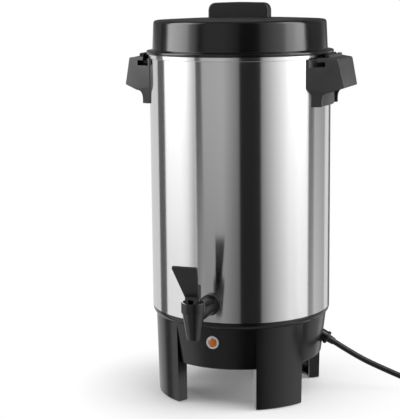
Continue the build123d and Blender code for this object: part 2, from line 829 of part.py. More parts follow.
def pump_foot():
    """Bell that traps water over the heater and carries the tube."""
    bore = PUMP_RADIUS - PUMP_WALL
    top = tank_floor + PUMP_FOOT_HEIGHT
    skirt = tank_floor + PUMP_FOOT_WALL * 2
    return turned(
        [
            (PUMP_FOOT_RADIUS, tank_floor),
            (PUMP_FOOT_RADIUS, skirt),
            (PUMP_RADIUS + PUMP_FOOT_WALL, top - PUMP_FOOT_WALL),
            (PUMP_RADIUS + PUMP_FOOT_WALL, top),
            (bore, top),
            (bore, top - 2 * PUMP_FOOT_WALL),
            (PUMP_FOOT_RADIUS - PUMP_FOOT_WALL, skirt - PUMP_FOOT_WALL),
            (PUMP_FOOT_RADIUS - PUMP_FOOT_WALL, tank_floor),
        ]
    )


def hole_rings(rings, counts, radius, low, high):
    """Round holes on rings, as one set of cutters."""
    cutters = []
    for ring, count in zip(rings, counts):
        for place in PolarLocations(ring, count):
            cutters.append(Pos(0, 0, low) * extrude(place * Circle(radius), high - low))
    return cutters


def basket_low():
    """Underside of the basket, on the pump tube's collar."""
    return tank_floor + PUMP_COLLAR_RISE


def coffee_basket():
    low = basket_low()
    sleeve = PUMP_RADIUS + 2 * SEAT_GAP
    top = low + BASKET_HEIGHT
    basket = turned(
        [
            (sleeve, low),
            (BASKET_RADIUS, low),
            (BASKET_RADIUS, top),
            (BASKET_RADIUS - BASKET_WALL, top),
            (BASKET_RADIUS - BASKET_WALL, low + BASKET_WALL),
            (sleeve + BASKET_WALL, low + BASKET_WALL),
            (sleeve + BASKET_WALL, top - BASKET_COVER_DISH),
            (sleeve, top - BASKET_COVER_DISH),
        ]
    )
    through = low + 2 * BASKET_WALL
    return basket - hole_rings(BASKET_RINGS, BASKET_RING_COUNTS, BASKET_HOLE, low - 1, through)


def basket_cover():
    """Spreader: a dished, holed disc with a lip over the basket's edge."""
    seat = basket_low() + BASKET_HEIGHT
    outer = BASKET_RADIUS + SEAT_GAP + BASKET_WALL
    dish = seat - BASKET_COVER_DISH + BASKET_WALL
    flat = BASKET_RADIUS - 2 * BASKET_COVER_DISH
    sleeve = PUMP_RADIUS + 2 * SEAT_GAP
    cover = turned(
        [
            (sleeve, dish),
            (flat, dish),
            (BASKET_RADIUS - 2 * BASKET_WALL, seat),
            (outer - BASKET_WALL, seat),
            (outer - BASKET_WALL, seat - BASKET_COVER_LIP),
            (outer, seat - BASKET_COVER_LIP),
            (outer, seat + BASKET_WALL),
            (BASKET_RADIUS - 2 * BASKET_WALL, seat + BASKET_WALL),
            (flat, dish + BASKET_WALL),
            (sleeve, dish + BASKET_WALL),
        ]
    )
    return cover - hole_rings(COVER_RINGS, COVER_RING_COUNTS, COVER_HOLE, dish - 1, seat)


# Tap


def tap_bore(radius):
    """Straight cutter from the spout's axis into the tank."""
    return rod(radius, (0, spout_y, tap_z), (0, 0, tap_z))


def washer_face():
    return -(SHELL_RADIUS + WASHER_WALL)


def thread_end():
    return -(tank_bore - GASKET_WALL - TAP_NUT_HEIGHT - THREAD_END)


def tap_body():
    tip = tap_z - SPOUT_DROP
    spout = turned(
        [
            (0, tip),
            (SPOUT_TIP_RADIUS, tip),
            (SPOUT_RADIUS, cup_foot),
            (CUP_RADIUS, cup_foot),
            (CUP_RADIUS, cup_top),
            (0, cup_top),
        ],
        [
            ((SPOUT_TIP_RADIUS, tip), SEAT_GAP * 6),
            ((CUP_RADIUS, cup_foot), CUP_WALL / 2),
            ((CUP_RADIUS, cup_top), CUP_WALL / 3),
        ],
    )
    body = Pos(0, spout_y, 0) * spout
    face = washer_face()
    body += rod(SHANK_RADIUS, (0, spout_y, tap_z), (0, face, tap_z))
    body += rod(COLLAR_RADIUS, (0, face - COLLAR_WALL, tap_z), (0, face, tap_z))
    body += rod(THREAD_RADIUS, (0, face, tap_z), (0, thread_end(), tap_z))
    inside = turned(
        [
            (0, tip),
            (OUTLET_RADIUS, tip),
            (OUTLET_RADIUS, seat_z),
            (CHAMBER_RADIUS, seat_z),
            (CHAMBER_RADIUS, bonnet_under),
            (cup_bore, bonnet_under),
            (cup_bore, cup_top),
            (0, cup_top),
        ]
    )
    body -= Pos(0, spout_y, 0) * inside
    return body - tap_bore(SHANK_BORE)


def on_wall(outer, inner, near, far, keep):
    """Ring on the tap's axis between two distances from the urn's axis, fitted to a wall."""
    start, end = (0, -near, tap_z), (0, -far, tap_z)
    return keep(rod(outer, start, end) - rod(inner, start, end))


def outside_of(radius):
    return lambda ring: ring - tube_core(radius)


def inside_of(radius):
    return lambda ring: ring & tube_core(radius)


def tube_core(radius):
    """Solid cylinder on the urn's axis, tall enough for the tap."""
    return Pos(0, 0, tap_z) * Cylinder(radius, 4 * WASHER_RADIUS)


def tap_washer():
    near = SHELL_RADIUS - WASHER_WALL
    ring = on_wall(
        WASHER_RADIUS,
        THREAD_RADIUS + SEAT_GAP,
        near,
        SHELL_RADIUS + WASHER_WALL,
        outside_of(SHELL_RADIUS + SEAT_GAP),
    )
    return ring


def tap_spacer():
    ring = on_wall(
        WASHER_RADIUS,
        THREAD_RADIUS + SEAT_GAP,
        tank_radius - WASHER_WALL,
        SHELL_RADIUS,
        outside_of(tank_radius + SEAT_GAP),
    )
    return ring & tube_core(shell_bore - SEAT_GAP)


def tap_gasket():
    return on_wall(
        GASKET_RADIUS,
        THREAD_RADIUS + SEAT_GAP,
        tank_bore - GASKET_WALL,
        tank_radius,
        inside_of(tank_bore - SEAT_GAP),
    )


def tap_nut():
    nut = hex_nut(TAP_NUT_FLATS, THREAD_RADIUS + RUN_GAP, TAP_NUT_HEIGHT)
    place = Plane(origin=(0, -(tank_bore - GASKET_WALL), tap_z), z_dir=(0, 1, 0))
    return place * nut


def tap_bonnet():
    """Plug that closes the valve chamber and guides the stem."""
    return Pos(0, spout_y, 0) * tube(
        cup_bore - SEAT_GAP, STEM_RADIUS + RUN_GAP, bonnet_under, bonnet_top
    )


def valve_seal():
    """Soft cup on the stem's end, resting on the seat."""
    return Pos(0, spout_y, 0) * turned(
        [
            (0, seat_z),
            (SEAL_RADIUS, seat_z),
            (SEAL_RADIUS, seat_z + SEAL_HEIGHT),
            (STEM_RADIUS, seat_z + SEAL_HEIGHT),
            (STEM_RADIUS, seat_z + SEAL_HEIGHT / 2),
            (0, seat_z + SEAL_HEIGHT / 2),
        ],
        [((SEAL_RADIUS, seat_z + SEAL_HEIGHT), SEAL_RADIUS / 3)],
    )


def valve_stem():
    low = (0, spout_y, seat_z + SEAL_HEIGHT / 2)
    stem = rod(STEM_RADIUS, low, (0, spout_y, pin_z + STEM_RADIUS))
    return stem - lever_bore(PIN_RADIUS + RUN_GAP)


def valve_spring():
    """Closing spring around the stem, between seal and bonnet."""
    low = seat_z + SEAL_HEIGHT + SPRING_WIRE / 2 + SEAT_GAP
    high = bonnet_under - SPRING_WIRE / 2 - SEAT_GAP
    radius = (STEM_RADIUS + SEAL_RADIUS) / 2

    def centre(turn):
        angle = 2 * pi * turn
        rise = (high - low) * turn / SPRING_TURNS
        return Vector(radius * cos(angle), spout_y + radius * sin(angle), low + rise)

    return wound(stations(centre, SPRING_TURNS), SPRING_WIRE / 2)


# Lever


def lever_bore(radius):
    """Bar along the lever's pin, as long as the hub."""
    return rod(radius, (-HUB_HALF_WIDTH, spout_y, pin_z), (HUB_HALF_WIDTH, spout_y, pin_z))


def cam_point(tilt):
    """Point of the cam that touches the bonnet at a tilt, pin at the origin, lever upright.

    The pin's height grows in step with the tilt, so the cam is the involute of a circle."""
    angle = radians(LEVER_LEAN + tilt)
    height = PIN_RISE - SEAT_GAP + CAM_RADIUS * radians(tilt)
    return (
        -height * sin(angle) - CAM_RADIUS * cos(angle),
        -height * cos(angle) + CAM_RADIUS * sin(angle),
    )


def lean_back(y, z):
    """Point of the lever at rest, given from the pin, turned to where it is with the lever upright."""
    lean = radians(LEVER_LEAN)
    return (y * cos(lean) + z * sin(lean), z * cos(lean) - y * sin(lean))


def tap_lever():
    """Paddle on a forked cam hub, built upright with its pin at the origin."""
    cam = Spline(*[cam_point(LEVER_TILT * step / 4) for step in range(5)])
    shoulder = lean_back(HUB_BACK, HUB_RISE)
    rest = Polyline(
        cam_point(LEVER_TILT),
        (-PADDLE_WALL, HUB_FRONT),
        (-PADDLE_WALL / 2, HUB_CREST),
        shoulder,
        lean_back(HUB_BACK, SEAT_GAP - PIN_RISE),
        cam_point(0),
    )
    hub_face = make_face([*cam.edges(), *rest.edges()])
    hub_face = fillet(hub_face.vertices().sort_by_distance(shoulder)[0], HUB_ROUND)
    hub = extrude(Plane.YZ * hub_face, HUB_HALF_WIDTH, both=True)

    top = PADDLE_TOP_WIDTH / 2
    foot = PADDLE_FOOT_WIDTH / 2
    blade = outline(
        [(-foot, 0), (foot, 0), (top, PADDLE_LENGTH), (-top, PADDLE_LENGTH)],
        [((top, PADDLE_LENGTH), PADDLE_CORNER), ((-top, PADDLE_LENGTH), PADDLE_CORNER)],
    )
    paddle = extrude(Plane.XZ * blade, PADDLE_WALL)
    faces = paddle.faces().sort_by(Axis.Y)
    rims = [e for f in (faces[0], faces[-1]) for e in f.edges() if e.center().Z > SEAT_GAP]
    paddle = fillet(rims, PADDLE_WALL / 4)
    lever = hub + paddle
    slot_half = STEM_RADIUS + SEAT_GAP * 3
    slot_top = STEM_RADIUS * sqrt(2) + 2 * FREE_GAP
    fork = Box(2 * slot_half, 8 * HUB_BACK, 8 * HUB_BACK, align=(Align.CENTER, Align.CENTER, Align.MAX))
    lever -= Pos(0, 0, slot_top) * fork
    lever -= rod(PIN_RADIUS + RUN_GAP, (-2 * HUB_HALF_WIDTH, 0, 0), (2 * HUB_HALF_WIDTH, 0, 0))
    return Pos(0, spout_y, pin_z) * Rot(LEVER_LEAN, 0, 0) * lever


def lever_pin():
    return lever_bore(PIN_RADIUS)


# Pilot lamp


def lamp_axis(radius, near, far):
    """Bar on the lamp's axis between two distances from the urn's axis."""
    return rod(radius, (0, -near, lamp_z), (0, -far, lamp_z))


def indicator_bezel():
    wall = skirt_radius(lamp_z)
    flange = lamp_axis(BEZEL_RADIUS, wall - BASE_WALL, wall + BEZEL_PROUD)
    flange -= turned(
        [
            (0, LEG_HEIGHT),
            (skirt_foot_radius + SEAT_GAP, LEG_HEIGHT),
            (skirt_top_radius + SEAT_GAP, skirt_top),
            (0, skirt_top),
        ]
    )
    bezel = flange + lamp_axis(BEZEL_BARREL, wall - BEZEL_DEPTH, wall + BEZEL_PROUD / 2)
    bezel -= lamp_axis(LENS_RADIUS + SEAT_GAP, wall + BEZEL_PROUD - LENS_DEPTH, wall + 2 * BEZEL_PROUD)
    return bezel - lamp_axis(LAMP_RADIUS + 4 * SEAT_GAP, 0, wall + BEZEL_PROUD)


def indicator_lens():
    face = skirt_radius(lamp_z) + BEZEL_PROUD
    plane = Plane(origin=(0, -(face - LENS_DEPTH), lamp_z), z_dir=(0, -1, 0))
    lens = turned(
        [(0, 0), (LENS_RADIUS, 0), (LENS_RADIUS, LENS_DEPTH), (0, LENS_DEPTH)],
    )
    bow = (LENS_RADIUS**2 + LENS_DOME**2) / (2 * LENS_DOME)
    dome = Pos(0, 0, LENS_DEPTH + LENS_DOME - bow) * Sphere(bow)
    tall = Pos(0, 0, LENS_DEPTH / 2) * Cylinder(
        LENS_RADIUS, LENS_DOME + LENS_DEPTH, align=(Align.CENTER, Align.CENTER, Align.MIN)
    )
    return plane.location * (lens + (dome & tall))


def indicator_lamp():
    face = skirt_radius(lamp_z) + BEZEL_PROUD - LENS_DEPTH - SEAT_GAP
    return lamp_axis(LAMP_RADIUS, face, face - LAMP_LENGTH)


# Mains lead


def lead_wires():
    """Insulated wires: lead to thermostat, thermostat to heating ring, heating ring to lead."""
    up = Vector(0, 0, 1)
    gland = gland_frame()
    inlet = gland.origin - gland.z_dir * (GLAND_DEPTH + SEAT_GAP)
    aside = polar(WIRE_RADIUS + SEAT_GAP, GLAND_ANGLE + 90)
    tab_z = plate_under - THERMOSTAT_HEIGHT - TAB_LENGTH - SEAT_GAP
    tab = Vector(THERMOSTAT_RADIUS - TAB_WIDTH / 2, 0, tab_z)
    other_tab = Vector(-tab.X, 0, tab_z)
    end_z = plate_under - ELEMENT_RADIUS - ELEMENT_BEND - ELEMENT_LEG - 2 * SEAT_GAP
    right, left = [
        polar(ELEMENT_CIRCLE, angle, end_z) + polar(ELEMENT_BEND, angle + turn)
        for angle, turn in zip(element_ends(), (90, -90))
    ]
    sag = (other_tab + left) * 0.5 - up * WIRE_SAG
    level = Vector(left.X - other_tab.X, left.Y - other_tab.Y).normalized()
    runs = [
        [(inlet - aside, -gland.z_dir), (tab, up)],
        [(inlet + aside, -gland.z_dir), (right, up)],
        [(other_tab, -up), (sag, level), (left, up)],
    ]
    return [wound(run, WIRE_RADIUS) for run in runs]


def cord_gland():
    """Strain relief: barrel in the wall, flange on its boss and a tapered nose."""
    plane = gland_frame()
    shoulder = GLAND_BOSS_PROUD + GLAND_FLANGE_WALL
    section = outline(
        [
            (0, -GLAND_DEPTH),
            (GLAND_BARREL, -GLAND_DEPTH),
            (GLAND_BARREL, GLAND_BOSS_PROUD),
            (GLAND_FLANGE_RADIUS, GLAND_BOSS_PROUD),
            (GLAND_FLANGE_RADIUS, shoulder),
            (GLAND_NOSE_RADIUS, shoulder),
            (GLAND_TIP_RADIUS, shoulder + GLAND_NOSE),
            (0, shoulder + GLAND_NOSE),
        ],
        [((GLAND_FLANGE_RADIUS, shoulder), GLAND_FLANGE_WALL / 3)],
    )
    return plane.location * revolve(Plane.XZ * section, Axis.Z)


def gland_tip():
    """Where the lead leaves the strain relief."""
    plane = gland_frame()
    return plane.origin + plane.z_dir * (GLAND_BOSS_PROUD + GLAND_FLANGE_WALL + GLAND_NOSE)


def arc_radii(points):
    """The largest arcs that fit each corner's two runs."""
    radii = []
    for before, corner, after in zip(points, points[1:], points[2:]):
        first, second = corner - before, after - corner
        turn = radians(first.get_angle(second))
        radii.append(0.45 * min(first.length, second.length) / tan(turn / 2))
    return radii


def power_cord():
    """Free stretch: straight runs joined by arcs, from the strain relief to the floor."""
    points = [gland_tip(), gland_tip() + gland_frame().z_dir * CORD_STRAIGHT]
    points += [polar(far, GLAND_ANGLE, z) for far, z in CORD_ROUTE]
    points += [polar(far, GLAND_ANGLE, laid_z) for far in CORD_LAID]
    radii = arc_radii(points)
    path = FilletPolyline(*points, radius=radii)
    section = Plane(origin=points[0], z_dir=path % 0) * Circle(CORD_RADIUS)
    cord = sweep(section, path)
    print("cord arcs:", [round(r) for r in radii], "length:", round(path.length, 1))
    ratio = cord.volume / (pi * CORD_RADIUS**2 * path.length)
    print("cord volume over section times length:", round(ratio, 4))
    return cord


def biarc(start, start_way, end, end_way):
    """Two arcs that leave a point in one direction and reach another in a second one.

    A straight run stays one line."""
    gap = end - start
    if max(start_way.get_angle(gap), end_way.get_angle(gap)) < 1e-3:
        return [Edge.make_line(start, end)]
    both = start_way + end_way
    a = 2 * (1 - start_way.dot(end_way))
    b = 2 * gap.dot(both)
    reach = gap.dot(gap) / b if abs(a) < 1e-9 else (sqrt(b * b + 4 * a * gap.dot(gap)) - b) / (2 * a)
    middle = (start + start_way * reach + end - end_way * reach) * 0.5
    first = Edge.make_tangent_arc(start, start_way, middle)
    second = Edge.make_tangent_arc(middle, first % 1, end)
    return [first, second]


def heading(centre, turn):
    """Unit direction of a winding at a turn."""
    step = 1e-4
    return (centre(turn + step) - centre(turn - step)).normalized()


def stations(centre, turns):
    """Points and directions along a winding, a quarter turn apart."""
    quarters = round(4 * turns)
    stops = [turns * i / quarters for i in range(quarters + 1)]
    return [(centre(turn), heading(centre, turn)) for turn in stops]


def wound(places, radius):
    """One unbroken tube through points and directions, joined by biarcs."""
    edges = [edge for low, high in zip(places, places[1:]) for edge in biarc(*low, *high)]
    path = Wire(edges)
    section = Plane(origin=path @ 0, z_dir=path % 0) * Circle(radius)
    return sweep(section, path)


coil_turns = COIL_TURNS_IN + COIL_TURNS_UP + COIL_TURNS_OUT
coil_inner = COIL_RADIUS - COIL_PITCH * COIL_TURNS_IN


def coil_middle():
    """Axis of the coil on the floor: the lead runs onto it along a tangent."""
    return polar(CORD_LAID[1] + COIL_LEAD, GLAND_ANGLE) + polar(COIL_RADIUS, GLAND_ANGLE - 90)


def coil_centre(turn):
    """Centreline of the coil: in along the floor, up inside the innermost turn, and out again."""
    climb = min(max((turn - COIL_TURNS_IN) / COIL_TURNS_UP, 0.0), 1.0)
    rise = climb * climb * (3 - 2 * climb)
    inwards = COIL_PITCH * max(COIL_TURNS_IN - turn, 0.0)
    outwards = COIL_PITCH * max(turn - COIL_TURNS_IN - COIL_TURNS_UP, 0.0)
    dip = COIL_PITCH * COIL_TURNS_UP * climb * (1 - climb)
    angle = GLAND_ANGLE + 90 - 360 * turn
    return coil_middle() + polar(coil_inner + inwards + outwards - dip, angle, laid_z + COIL_CLIMB * rise)


def cord_coil():
    start = (polar(CORD_LAID[1], GLAND_ANGLE, laid_z), polar(1, GLAND_ANGLE))
    end = (coil_end().origin, coil_end().z_dir)
    coil = wound([start, *stations(coil_centre, coil_turns), end], CORD_RADIUS)
    per_turn = 72
    points = [coil_centre(i / per_turn) for i in range(round(coil_turns * per_turn) + 1)]
    gaps = [
        (points[j] - points[i]).length - 2 * CORD_RADIUS
        for i in range(len(points))
        for j in range(i + per_turn // 2, len(points))
    ]
    length = coil.volume / (pi * CORD_RADIUS**2)
    print("coil: least gap between turns", round(min(gaps), 2), "length by volume", round(length, 1))
    return coil


def coil_end():
    """Plane at the coil's outgoing end, facing along the lead."""
    way = heading(coil_centre, coil_turns)
    origin = coil_centre(coil_turns) + way * COIL_TAIL
    return Plane(origin=origin, x_dir=way.cross(Vector(0, 0, 1)), z_dir=way)


def plug_body():
    """Moulded plug lying on the floor, with its tapered relief on the coil's end."""
    plane = coil_end()
    half_height = coil_centre(coil_turns).Z
    relief_end = PLUG_RELIEF + PLUG_ROUND
    taper = [
        (0, 0),
        (CORD_RADIUS + PLUG_ROUND / 4, 0),
        (half_height * 0.7, relief_end),
        (0, relief_end),
    ]
    relief = turned(taper)
    section = RectangleRounded(2 * PLUG_HALF_WIDTH, 2 * half_height, PLUG_ROUND)
    grip = Pos(0, 0, PLUG_RELIEF) * extrude(section, PLUG_LENGTH)
    body = relief + grip
    for side in (1, -1):
        pocket = Pos(side * BLADE_SPACING / 2, 0, PLUG_RELIEF + PLUG_LENGTH - BLADE_SEAT)
        body -= pocket * Box(
            BLADE_WALL + 2 * RUN_GAP,
            BLADE_WIDTH + 2 * RUN_GAP,
            2 * BLADE_SEAT,
            align=(Align.CENTER, Align.CENTER, Align.MIN),
        )
    return plane.location * body


def plug_blades():
    plane = coil_end()
    low = PLUG_RELIEF + PLUG_LENGTH - BLADE_SEAT
    blade = Box(
        BLADE_WALL, BLADE_WIDTH, BLADE_SEAT + BLADE_LENGTH, align=(Align.CENTER, Align.CENTER, Align.MIN)
    )
    return [plane.location * Pos(side * BLADE_SPACING / 2, 0, low) * blade for side in (1, -1)]


def cord_tie():
    """Strap round the coil's bundle of turns."""
    middle = coil_middle()
    crossed = [coil_centre(TIE_TURN + i) - middle for i in range(round(coil_turns))]
    reach = [Vector(p.X, p.Y).length for p in crossed]
    room = CORD_RADIUS + FREE_GAP
    inside = min(reach) - room
    outside = max(reach) + room
    top = max(p.Z for p in crossed) + CORD_RADIUS + SEAT_GAP
    size = (outside - inside, top - TIE_WALL)
    band = RectangleRounded(size[0] + 2 * TIE_WALL, size[1] + 2 * TIE_WALL, CORD_RADIUS + TIE_WALL)
    band -= RectangleRounded(*size, CORD_RADIUS)
    strap = upright(Pos((inside + outside) / 2, (top + TIE_WALL) / 2) * band, TIE_WIDTH)
    return Pos(middle.X, middle.Y, 0) * Rot(0, 0, GLAND_ANGLE + 90 - 360 * TIE_TURN) * strap


# Everything, each piece under its node's name

right_handle = handle()
pieces = {
    "outer_shell": outer_shell(),
    "inner_tank": inner_tank(),
    "base_housing": base_housing(),
    "bottom_cover": bottom_cover(),
    "foot_pads": foot_pads(),
    "tie_studs": tie_studs(),
    "tie_nuts": tie_nuts(),
    "heater_plate": heater_plate(),
    "heating_element": heating_element(),
    "thermostat": thermostat(),
    "thermal_fuse": thermal_fuse(),
    "handle_right": right_handle,
    "handle_left": Rot(0, 0, 180) * right_handle,
    "handle_screws": handle_screws(),
    "lid_shell": lid_shell(),
    "lid_knob": lid_knob(),
    "knob_screws": knob_screws(),
    "pump_tube": pump_tube(),
    "pump_foot": pump_foot(),
    "coffee_basket": coffee_basket(),
    "basket_cover": basket_cover(),
    "tap_body": tap_body(),
    "tap_washer": tap_washer(),
    "tap_spacer": tap_spacer(),
    "tap_gasket": tap_gasket(),
    "tap_nut": tap_nut(),
    "tap_bonnet": tap_bonnet(),
    "valve_stem": valve_stem(),
    "valve_seal": valve_seal(),
    "valve_spring": valve_spring(),
    "tap_lever": tap_lever(),
    "lever_pin": lever_pin(),
    "indicator_bezel": indicator_bezel(),
    "indicator_lens": indicator_lens(),
    "indicator_lamp": indicator_lamp(),
    "lead_wires": lead_wires(),
    "cord_gland": cord_gland(),
    "power_cord": power_cord(),
    "cord_coil": cord_coil(),
    "cord_tie": cord_tie(),
    "plug_body": plug_body(),
    "plug_blades": plug_blades(),
}

os.makedirs("parts", exist_ok=True)
for name, shape in pieces.items():
    solids = [shape] if not isinstance(shape, list) else shape
    export_step(Compound(children=[s for piece in solids for s in piece.solids()]), f"parts/{name}.step")
print(len(pieces), "nodes")
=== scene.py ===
# %% [markdown]
# # Dressing an electric coffee urn
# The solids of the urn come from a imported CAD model: steel shell, black lid, hooded handles,
# legged base, lever tap and mains lead. This lesson gives them their finishes and sets up a small
# photo studio around them. The lead, the lid, its grip bar, the handles, the tap's body and washer
# and the closing spring are drawn anew here, each in place of its solid.
# Blender works in metres, +Z up, with the tap towards -Y. The urn's own sizes are in millimetres.

# %% Load the frame
import json

import bmesh
import bpy
import numpy as np
from mathutils import Matrix, Vector


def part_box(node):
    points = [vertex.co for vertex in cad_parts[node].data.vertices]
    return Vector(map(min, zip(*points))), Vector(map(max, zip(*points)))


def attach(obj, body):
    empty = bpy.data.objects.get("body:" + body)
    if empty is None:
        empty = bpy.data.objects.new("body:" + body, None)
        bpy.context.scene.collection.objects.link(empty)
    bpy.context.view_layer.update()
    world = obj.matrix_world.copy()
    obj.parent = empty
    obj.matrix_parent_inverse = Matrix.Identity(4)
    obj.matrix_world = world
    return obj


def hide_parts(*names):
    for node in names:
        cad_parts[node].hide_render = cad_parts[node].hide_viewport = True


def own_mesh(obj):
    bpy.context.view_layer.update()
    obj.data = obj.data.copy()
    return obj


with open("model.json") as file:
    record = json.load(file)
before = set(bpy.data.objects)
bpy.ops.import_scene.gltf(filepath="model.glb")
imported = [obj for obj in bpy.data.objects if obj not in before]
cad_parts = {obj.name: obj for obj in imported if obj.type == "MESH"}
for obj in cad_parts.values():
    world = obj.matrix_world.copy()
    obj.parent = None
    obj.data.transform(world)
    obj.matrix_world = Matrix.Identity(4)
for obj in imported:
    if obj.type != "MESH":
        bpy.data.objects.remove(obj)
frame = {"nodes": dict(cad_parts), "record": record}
nodes = frame["nodes"]
scene = bpy.context.scene
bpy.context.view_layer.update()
MM = 0.001

# %% [markdown]
# ## The camera
# A product photo like this is taken from a few paces with a long lens, a little above the lid.
# One could place the camera by eye. Here its place follows from what a photo gives: how far off,
# how high and from which side it was taken, and how the camera was turned, tipped and rolled.

# %% Camera
PHOTO = (400, 419)
FOCAL_PX = 1278.0
SENSOR_WIDTH = 36.0
CAMERA_AZIMUTH = np.radians(18.7)
CAMERA_DISTANCE = 1.420
CAMERA_HEIGHT = 0.4533
CAMERA_PITCH = np.radians(9.9)
CAMERA_YAW = np.radians(1.85)
CAMERA_ROLL = np.radians(-0.6)


def turned_pair(first, second, angle):
    """Two crossed directions turned in their plane: f cos a + s sin a, and s cos a - f sin a."""
    turned_first = first * np.cos(angle) + second * np.sin(angle)
    turned_second = second * np.cos(angle) - first * np.sin(angle)
    return turned_first, turned_second


def place_camera():
    """Look along the line to the urn's axis, turned left by the yaw, down by the pitch, then rolled."""
    towards = np.array([-np.sin(CAMERA_AZIMUTH), np.cos(CAMERA_AZIMUTH), 0.0])
    across = np.array([np.cos(CAMERA_AZIMUTH), np.sin(CAMERA_AZIMUTH), 0.0])
    zenith = np.array([0.0, 0.0, 1.0])
    right, level = turned_pair(across, towards, CAMERA_YAW)
    up, ahead = turned_pair(zenith, level, CAMERA_PITCH)
    right, up = turned_pair(right, up, CAMERA_ROLL)
    spot = -towards * CAMERA_DISTANCE + zenith * CAMERA_HEIGHT
    turn = np.column_stack([right, up, -ahead])
    lens = bpy.data.cameras.new("photo_camera")
    lens.sensor_width = SENSOR_WIDTH
    lens.lens = FOCAL_PX / max(PHOTO) * SENSOR_WIDTH
    camera = bpy.data.objects.new("photo_camera", lens)
    camera.matrix_world = Matrix.Translation(spot.tolist()) @ Matrix(turn.tolist()).to_4x4()
    scene.collection.objects.link(camera)
    scene.camera = camera
    return camera


camera = place_camera()
print("camera:", [round(v, 3) for v in camera.location], "lens:", round(camera.data.lens, 1))

# %% [markdown]
# ## Shader maths in plain Python
# A finish is a little graph of nodes. It could be wired by hand in the shader editor, but a page
# of wires hides the idea. So a small class wraps one socket, and sums, differences and products
# of wires add the Math nodes by themselves. Every other node comes from one method.

# %% Wires


class Wire:
    """One output socket. Arithmetic on wires adds Math nodes to the finish."""

    def __init__(self, finish, socket):
        self.finish = finish
        self.socket = socket

    def maths(self, operation, first, second):
        """Result of a Math node on two values or wires."""
        return self.finish.node("ShaderNodeMath", {"operation": operation}, {0: first, 1: second})

    def __add__(self, other):
        return self.maths("ADD", self, other)

    def __sub__(self, other):
        return self.maths("SUBTRACT", self, other)

    def __rsub__(self, other):
        return self.maths("SUBTRACT", other, self)

    def __mul__(self, other):
        return self.maths("MULTIPLY", self, other)

    __radd__ = __add__
    __rmul__ = __mul__


print("wires add, subtract and multiply")

# %% Node trees


class Finish:
    """A node tree under construction."""

    def __init__(self, tree):
        self.tree = tree
        tree.nodes.clear()

    def node(self, kind, settings=None, sockets=None, output=0):
        """Add any node: its settings are set first, then its sockets get values or wires."""
        made = self.tree.nodes.new(kind)
        for key, value in (settings or {}).items():
            setattr(made, key, value)
        for key, value in (sockets or {}).items():
            if isinstance(value, Wire):
                self.tree.links.new(value.socket, made.inputs[key])
            else:
                made.inputs[key].default_value = value
        return Wire(self, made.outputs[output]) if made.outputs else None


print("a finish takes any kind of node")

# %% [markdown]
# ## The room
# A product stands in a bright room, and the room lights it. A panorama of a real studio would do
# that, with all its windows in the steel. Two plain shaders for the world are easier to steer: a
# half-bright one gives the light, and a white one is what the camera, mirrors and glass see.

# %% Room
ROOM_LIGHT, WHITE = 0.5, 1.0
scene.view_settings.view_transform = "Standard"


def grey(value):
    """A neutral colour of one brightness."""
    return (value, value, value, 1.0)


def direct_view(tree):
    """1 for rays that come from the camera, a mirror or glass, else 0."""
    path = tree.node("ShaderNodeLightPath").socket.node.outputs
    kinds = ["Is Camera Ray", "Is Glossy Ray", "Is Transmission Ray"]
    first, second, third = [Wire(tree, path[kind]) for kind in kinds]
    return first.maths("MAXIMUM", first.maths("MAXIMUM", first, second), third)


world = bpy.data.worlds.new("studio")
scene.world = world
world.use_nodes = True
sky = Finish(world.node_tree)
room = sky.node("ShaderNodeBackground", None, {"Color": grey(WHITE), "Strength": ROOM_LIGHT})
bright = sky.node("ShaderNodeBackground", None, {"Color": grey(WHITE), "Strength": WHITE})
seen = sky.node("ShaderNodeMixShader", None, {0: direct_view(sky), 1: room, 2: bright})
sky.node("ShaderNodeOutputWorld", None, {"Surface": seen})
print("room light:", ROOM_LIGHT, "nodes:", len(world.node_tree.nodes))

# %% [markdown]
# ## The floor
# The urn stands on a white sweep. A bare plane would turn grey towards its edges, and the edge
# would show. This floor takes the shadows close to the urn and fades to pure white around it.
# Reflections don't see it, because one of the cards below stands in for it there.

# %% Floor
FLOOR_REACH = 6.0
SHADOW_FULL, SHADOW_GONE = 0.06, 0.19
FLOOR_PAINT, FLOOR_ROUGHNESS = 0.86, 0.6


def new_finish(name):
    """A material with an empty tree to fill."""
    material = bpy.data.materials.new(name)
    material.use_nodes = True
    return material, Finish(material.node_tree)


def object_space(tree):
    """The piece's own coordinates in metres."""
    return tree.node("ShaderNodeTexCoord", None, None, "Object")


def rising(tree, value, start, end, top=1.0):
    """0 up to the start, the top beyond the end, and an even rise in between."""
    sockets = {"Value": value, "From Min": start, "From Max": end, "To Min": 0.0, "To Max": top}
    return tree.node("ShaderNodeMapRange", None, sockets)


def floor_paint():
    """White paint that glows by a share: 0 inside SHADOW_FULL of the axis, 1 beyond SHADOW_GONE."""
    material, tree = new_finish("floor_paint")
    reach = tree.node("ShaderNodeVectorMath", {"operation": "LENGTH"}, {0: object_space(tree)}, "Value")
    fade = rising(tree, reach, SHADOW_FULL, SHADOW_GONE)
    coat = {"Base Color": grey(FLOOR_PAINT), "Roughness": FLOOR_ROUGHNESS}
    paint = tree.node("ShaderNodeBsdfPrincipled", None, coat)
    glow = tree.node("ShaderNodeEmission", None, {"Color": grey(WHITE), "Strength": WHITE})
    mixed = tree.node("ShaderNodeMixShader", None, {0: fade * direct_view(tree), 1: paint, 2: glow})
    tree.node("ShaderNodeOutputMaterial", None, {"Surface": mixed})
    return material


def mesh_piece(name, points, faces):
    """An object from arrays of points and faces."""
    mesh = bpy.data.meshes.new(name)
    mesh.from_pydata(np.asarray(points).tolist(), [], np.asarray(faces).tolist())
    piece = bpy.data.objects.new(name, mesh)
    scene.collection.objects.link(piece)
    return piece


